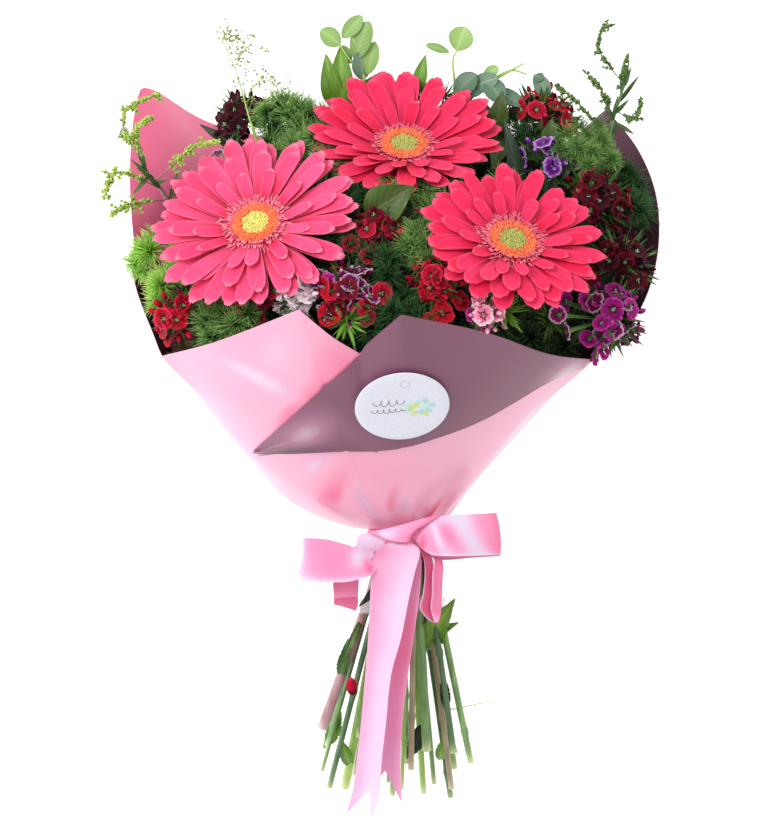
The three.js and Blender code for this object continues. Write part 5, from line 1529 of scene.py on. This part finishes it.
def head_greens(green, index, axes, luck):
    """The green bristles under a head's florets, and the star of bracts that some heads have."""
    _, at, radius, _ = SWEET_WILLIAMS[index]
    radius = radius * MM
    around = fan(HEAD["bristles"], 108 * DEG, luck, 0.15) @ axes
    long = radius * luck.uniform(0.4, 0.75, len(around)) + 2 * MM
    start = at + around * radius * 0.42
    keep = ~outside_wrap(start + around * long[:, None])
    many = keep.sum()
    green.copies(BRACT_MODEL, start[keep], facing_axes(around[keep], luck.uniform(0, 6, many)), long[keep],
                 luck.uniform(0, 1, many), 1)
    for number, place in BRACT_STARS:
        if number == index + 1:
            rays = fan(STAR["rays"], 95 * DEG, luck, 0.1)
            many = len(rays)
            green.copies(BRACT_MODEL, place + 0 * rays, facing_axes(rays, luck.uniform(0, 6, many)),
                         STAR["length"] * luck.uniform(0.6, 1.1, many), luck.uniform(0, 0.4, many), 3)


def stem_leaves(heap, line, luck):
    """Four pairs of lance-shaped leaves on a stem inside the wrap, where they have room."""
    ways = headings(line)
    for k in range(4):
        i = int((0.97 - 0.07 * k) * (len(line) - 1))
        aside = facing_axes(ways[i], 1.3 * k)[0]
        for side in (-1, 1):
            reach = unit(ways[i] + aside * side * luck.uniform(0.5, 1.0)) * luck.uniform(34, 46) * MM
            tip = line[i] + reach
            trail = line[i] + reach * np.linspace(0.3, 1, 4)[:, None]
            if outside_wrap(trail, 4 * MM, False).any() or min(trail[:, 2]) < 4 * MM or covered(tip):
                continue
            add_leaf(heap, line[i], tip, luck.uniform(7, 10) * MM, 2, luck.uniform(0, 1), rows=12, columns=7,
                     arch=0.1, wave=0.04)


# --- ferns
def gap_tufts(spots):
    """Places for tufts, shared out to the fronds that they are nearest to. No lime frond gets any."""
    fronds = [(i, at) for i, (colour, tufts, _) in enumerate(FERNS) if colour != "lime" for at in tufts]
    shared = {i: [] for i in range(len(FERNS))}
    for spot in spots:
        shared[nearest(spot, fronds)[0]].append(spot)
    return shared


def needle_tuft(heap, at, facing, luck, count, length=NEEDLE, widest=125 * DEG, coat=0):
    """A soft tuft of needles round a point, densest towards where it faces."""
    out = fan(count, widest, luck, 0.14) @ facing_axes(facing)
    size = length * luck.uniform(0.65, 1.15, count)
    tips = at + out * size[:, None]
    start = at + out * 0.9 * MM
    keep = ~outside_wrap(tips) & (tips[:, 2] > MM) & ~through_petals(tips)
    tint = luck.uniform(0, 1, count)
    for m, model in enumerate(NEEDLE_MODELS):
        pick = keep & (np.arange(count) % len(NEEDLE_MODELS) == m)
        if pick.any():
            axes = facing_axes(out[pick], luck.uniform(0, 6.28, pick.sum()))
            heap.copies(model, start[pick], axes, size[pick], tint[pick], coat)


def fern(index, upper, deep):
    """A frond of needle tufts on thin branches, with its tufts between the flowers and under them."""
    colour, tufts, _ = FERNS[index]
    key = f"fern_{index + 1}"
    luck = np.random.default_rng(SEEDS["fern"] + index)
    heap = Heap()
    main = add_stem(heap, key, tufts[0], 7, coat=2)
    lower_leaves(heap, key, {"shade": 3, "bright": 4})
    fork = main[int(len(main) * 0.88)]
    for i, at in enumerate(tufts):
        facing = unit(at - HEART)
        needle_tuft(heap, at, facing, luck, TUFT["needles"])
        if i:
            heap.tube(through([fork, (fork + at) / 2 + facing * 2 * MM, at], 10), 0.7 * MM, 5, 0.5)
        for _ in range(TUFT["sides"]):
            aside = unit(np.cross(facing, luck.normal(0, 1, 3)))
            side = at + aside * luck.uniform(7, 12) * MM - facing * luck.uniform(0, 6) * MM
            if not outside_wrap(side[None], 7 * MM)[0]:
                needle_tuft(heap, side, unit(facing + aside * 0.8), luck, TUFT["side_needles"],
                            TUFT["side_length"])
                branch = through([at - facing * 6 * MM, (at + side) / 2 - facing * 3 * MM, side], 6)
                heap.tube(branch, 0.4 * MM, 4, 0.5)
    for at in upper:
        facing = unit(at - HEART)
        kind = BACK_TUFTS if at[2] < BACK_TUFTS["below"] else UPPER_TUFTS
        coat = 1 if luck.random() < 0.5 else 0
        needle_tuft(heap, at, facing, luck, kind["needles"], kind["length"], coat=coat)
        heap.tube(through([at - facing * 22 * MM, at - facing * 10 * MM, at], 6), 0.5 * MM, 4, 0.5)
    # Painted shade: the deep tufts under the heads all take the dark green needles, darker than most fronds'
    # own green.
    for at in deep:
        kind = BACK_TUFTS if at[2] < BACK_TUFTS["below"] else DEEP_TUFTS
        needle_tuft(heap, at, unit(at - HEART), luck, DEEP_TUFTS["needles"], kind["length"], coat=1)
    heap.piece(key + "_needles", [NEEDLES[colour], NEEDLES["deepgreen"], STEM[STALK_TONES[index]],
                                  LEAF["shade"], LEAF["bright"]], key)


# --- leafy stems and twigs
def leafy_stem(leafy):
    """A stem with a few pointed leaves."""
    heap = Heap()
    key = leafy["name"]
    luck = np.random.default_rng(SEEDS["leafy_stem"] + len(key))
    add_stem(heap, key, leafy["base"])
    for root, tip, width in leafy["leaves"]:
        heap.tube(through([leafy["base"], (leafy["base"] + root) / 2, root], 6), 0.9 * MM, 6, 0.3)
        add_leaf(heap, root, tip, width * MM, 1, luck.uniform(0, 0.4), rows=22, columns=11, arch=0.12,
                 wave=0.06, fold=0.25)
    lower_leaves(heap, key, {"shade": 1, "bright": 2})
    finishes = [STEM["green"], LEAF[leafy["tone"]], LEAF["bright"]]
    heap.piece(key + "_leaves", finishes, key, crisp=True)


def eucalyptus(e):
    """A twig of round, dusty green leaves."""
    heap = Heap()
    key = e["name"]
    add_stem(heap, key, e["path"][0])
    heap.tube(through(e["path"], 24), np.linspace(1.5, 0.5, 24) * MM, 7, 0.3)
    for twig in e["twigs"]:
        heap.tube(through(twig, 14), np.linspace(0.8, 0.4, 14) * MM, 6, 0.3)
    for k, (root, tip, width, coat) in enumerate(e["leaves"]):
        heap.tube(np.stack([root, root + (tip - root) * 0.06, root + (tip - root) * 0.12]), 0.45 * MM, 5, 0.3)
        add_leaf(heap, root, tip, width * MM, 1 + coat, 0.3 * (k % 3), (0.35 * math.sin(2.4 * k), 0.3, 1),
                 pointed=False, rows=18, columns=13, arch=0.05, fold=0.1)
    heap.piece(key + "_twig", [STEM["pale"], YOUNG_GUM_LEAF, GUM_LEAF], key, crisp=True)


def bud_branch(heap, path, luck, buds, size, thick):
    """A curved twig through a few points, with small buds along it."""
    line = through(path, 22)
    heap.tube(line, np.linspace(thick, thick * 0.4, 22), 5, 0.5)
    share = luck.uniform(0.12, 1, buds) ** 0.8
    at = points_at(share, np.linspace(0, 1, 22), line)
    way = unit(unit(line[-1] - line[0]) * 1.3 + luck.normal(0, 1, (buds, 3)))
    heap.copies(BUD_MODEL, at + way * 0.4 * MM, facing_axes(way, luck.uniform(0, 6, buds)),
                size * luck.uniform(0.6, 1.3, buds), luck.uniform(0, 1, buds), 1)


def goldenrod(g, seed):
    """A leafy stem that ends in arching twigs set with small buds."""
    heap = Heap()
    key = g["name"]
    luck = np.random.default_rng(seed)
    add_stem(heap, key, g["base"])
    spine = through([g["base"], (g["base"] + g["top"]) / 2 + mm(0, 2, 2), g["top"]], 20)
    heap.tube(spine, np.linspace(1.3, 0.7, 20) * MM, 7, 0.3)
    for i, (via, tip) in enumerate(zip(g["via"], g["tips"])):
        start = spine[int(19 * (0.25 + 0.75 * i / (len(g["tips"]) - 1)))]
        path = through([start, via, tip], 24)
        bud_branch(heap, path, luck, g["buds"], g["bud"] * MM, 0.45 * MM)
        for _ in range(g["side_twigs"]):
            k = luck.integers(5, 22)
            twig = path[k]
            aside = unit(unit(path[k] - path[k - 1]) + luck.normal(0, 0.7, 3))
            aside = aside * luck.uniform(0.4, 1) * g["spread"] * MM
            bud_branch(heap, [twig, twig + aside * 0.5 + mm(0, 0, 0.8), twig + aside], luck, 12,
                       g["bud"] * 0.9 * MM, 0.25 * MM)
    lower_leaves(heap, key, {"bright": 2})
    for _ in range(9):
        root = spine[luck.integers(0, 19)]
        way = unit(luck.normal(0, 0.6, 3) + unit(g["top"] - g["base"]))
        tip = root + way * luck.uniform(12, 20) * MM
        add_leaf(heap, root, tip, 2.4 * MM, 2, luck.uniform(0.3, 1), rows=10, columns=5, arch=0.1)
    for tip in g["shoots"]:
        path = through([g["base"], (g["base"] + tip) / 2 + mm(0, -3, 6), tip], 16)
        heap.tube(path, 0.6 * MM, 5, 0.5)
        facing = unit(tip - g["base"] + mm(0, 0, 12))
        for at in path[5:]:
            needle_tuft(heap, at, facing, luck, SHOOT["needles"], SHOOT["length"], SHOOT["widest"], coat=3)
    finishes = [STEM[g["skin"]], GOLDENROD_BUD[key], LEAF["bract"], NEEDLES["fern"]]
    heap.piece(key + "_spray", finishes, key, crisp=True)


def grass(g):
    """An open spray of hair-thin branches with small seeds at their ends."""
    heap = Heap()
    key = g["name"]
    luck = np.random.default_rng(SEEDS["grass"])
    add_stem(heap, key, g["base"], 7, 0.2)
    line = through([g["base"], (g["base"] + g["top"]) / 2 + mm(3, 0, 0), g["top"]], 24)
    heap.tube(line, np.linspace(0.45, 0.12, 24) * MM, 6, 0.2)
    heap.tube(through(AWN, 16), np.linspace(0.3, 0.1, 16) * MM, 4, 0.6)
    for i in range(g["twigs"]):
        share = i / g["twigs"]
        start = line[int(23 * (0.05 + 0.7 * share))]
        reach = mm((26 - i * 0.7) * luck.uniform(-0.5, 1.15),
                   24 * luck.uniform(0.3, 1.1) * (1 - 0.5 * share), 10 * luck.uniform(-0.5, 0.6))
        bud_branch(heap, [start, start + reach * 0.5 + mm(0, 1.5, 1), start + reach], luck, 3, 1.3 * MM,
                   0.08 * MM)
        seeds = luck.integers(3, 8)
        spread = start + reach + luck.normal(0, 2.2 * MM, (seeds, 3))
        spread = np.minimum(spread, (1, g["limit"], 1))
        heap.copies(BUD_MODEL, spread, facing_axes(luck.normal(0, 1, (seeds, 3)) + (0, 1.5, 0)),
                    1.6 * MM * luck.uniform(0.6, 1.3, seeds), luck.uniform(0, 1, seeds), 1)
    heap.piece(key + "_spray", [STEM["pale"], GRASS_SEED], key)


# --- floor, light and camera
WORLD_LIGHT = 0.7
FLOOR_GLOW = 0.45  # keeps the floor white between the lamps
FLOOR = {"edge": 4.0, "level": -0.0005}
# Soft lamps: name, place, size and watts.
LAMPS = (("key", (-0.8, 0.7, 1.5), 0.8, 18), ("fill", (1.2, 0.1, 1.3), 1.0, 5),
         ("side", (-1.5, -0.2, 0.5), 0.9, 8))
CAMERA = {"at": (0.0008, -0.0055, 3.5), "lens": 177.5, "sensor": 24}


def studio():
    """A white floor, a white world and a few soft lamps."""
    edge, level = FLOOR["edge"], FLOOR["level"]
    floor = bpy.data.meshes.new("floor")
    corners = [(-edge, -edge, level), (edge, -edge, level), (edge, edge, level), (-edge, edge, level)]
    floor.from_pydata(corners, [], [(0, 1, 2, 3)])
    plane = bpy.data.objects.new("floor", floor)
    bpy.context.collection.objects.link(plane)
    f = Finish("floor", Emission_Color=(1, 1, 1, 1), Emission_Strength=FLOOR_GLOW)
    floor.materials.append(f.feed(Base_Color=f.ramp(f.noise(2), (0.3, "#fdfdfd"), (0.7, "#fafafa"))))
    world = bpy.data.worlds.new("studio")
    world.use_nodes = True
    world.node_tree.nodes["Background"].inputs["Color"].default_value = (1, 1, 1, 1)
    world.node_tree.nodes["Background"].inputs["Strength"].default_value = WORLD_LIGHT
    bpy.context.scene.world = world
    bpy.context.scene.view_settings.view_transform = "Standard"
    for name, place, size, power in LAMPS:
        light = bpy.data.lights.new(name, "AREA")
        light.size = size
        light.energy = power
        lamp = bpy.data.objects.new(name, light)
        bpy.context.collection.objects.link(lamp)
        lamp.location = place
        aim = np.array((0, 0, 0.1)) - np.array(place)
        lamp.rotation_mode = "QUATERNION"
        lamp.rotation_quaternion = Vector(aim).to_track_quat("-Z", "Y")


def camera():
    """Straight above the bouquet, at the photograph's framing."""
    data = bpy.data.cameras.new("camera")
    data.sensor_fit = "VERTICAL"
    data.sensor_height = CAMERA["sensor"]
    data.lens = CAMERA["lens"]
    eye = bpy.data.objects.new("camera", data)
    bpy.context.collection.objects.link(eye)
    eye.location = CAMERA["at"]
    bpy.context.scene.camera = eye


# --- building it
wrap_outer()
wrap_inner()
wrap_front()
card()
ribbon()
binding_tape()
for number, flower in enumerate(GERBERAS):
    gerbera(flower, SEEDS["gerbera"] + number)
for number, placed in all_strays().items():
    sweet_william(number, placed)
upper_tufts = gap_tufts([*dome_points(UPPER_TUFTS["tries"], UPPER_TUFTS["depth"]), *FILLERS])
deep_tufts = gap_tufts(dome_points(DEEP_TUFTS["tries"], DEEP_TUFTS["depth"]))
for number in range(len(FERNS)):
    fern(number, upper_tufts[number], deep_tufts[number])
for leafy in LEAFY:
    leafy_stem(leafy)
for twig in EUCALYPTUS:
    eucalyptus(twig)
for number, spray in enumerate(GOLDENRODS):
    goldenrod(spray, SEEDS["goldenrod"] + number)
grass(GRASS)
studio()
camera()
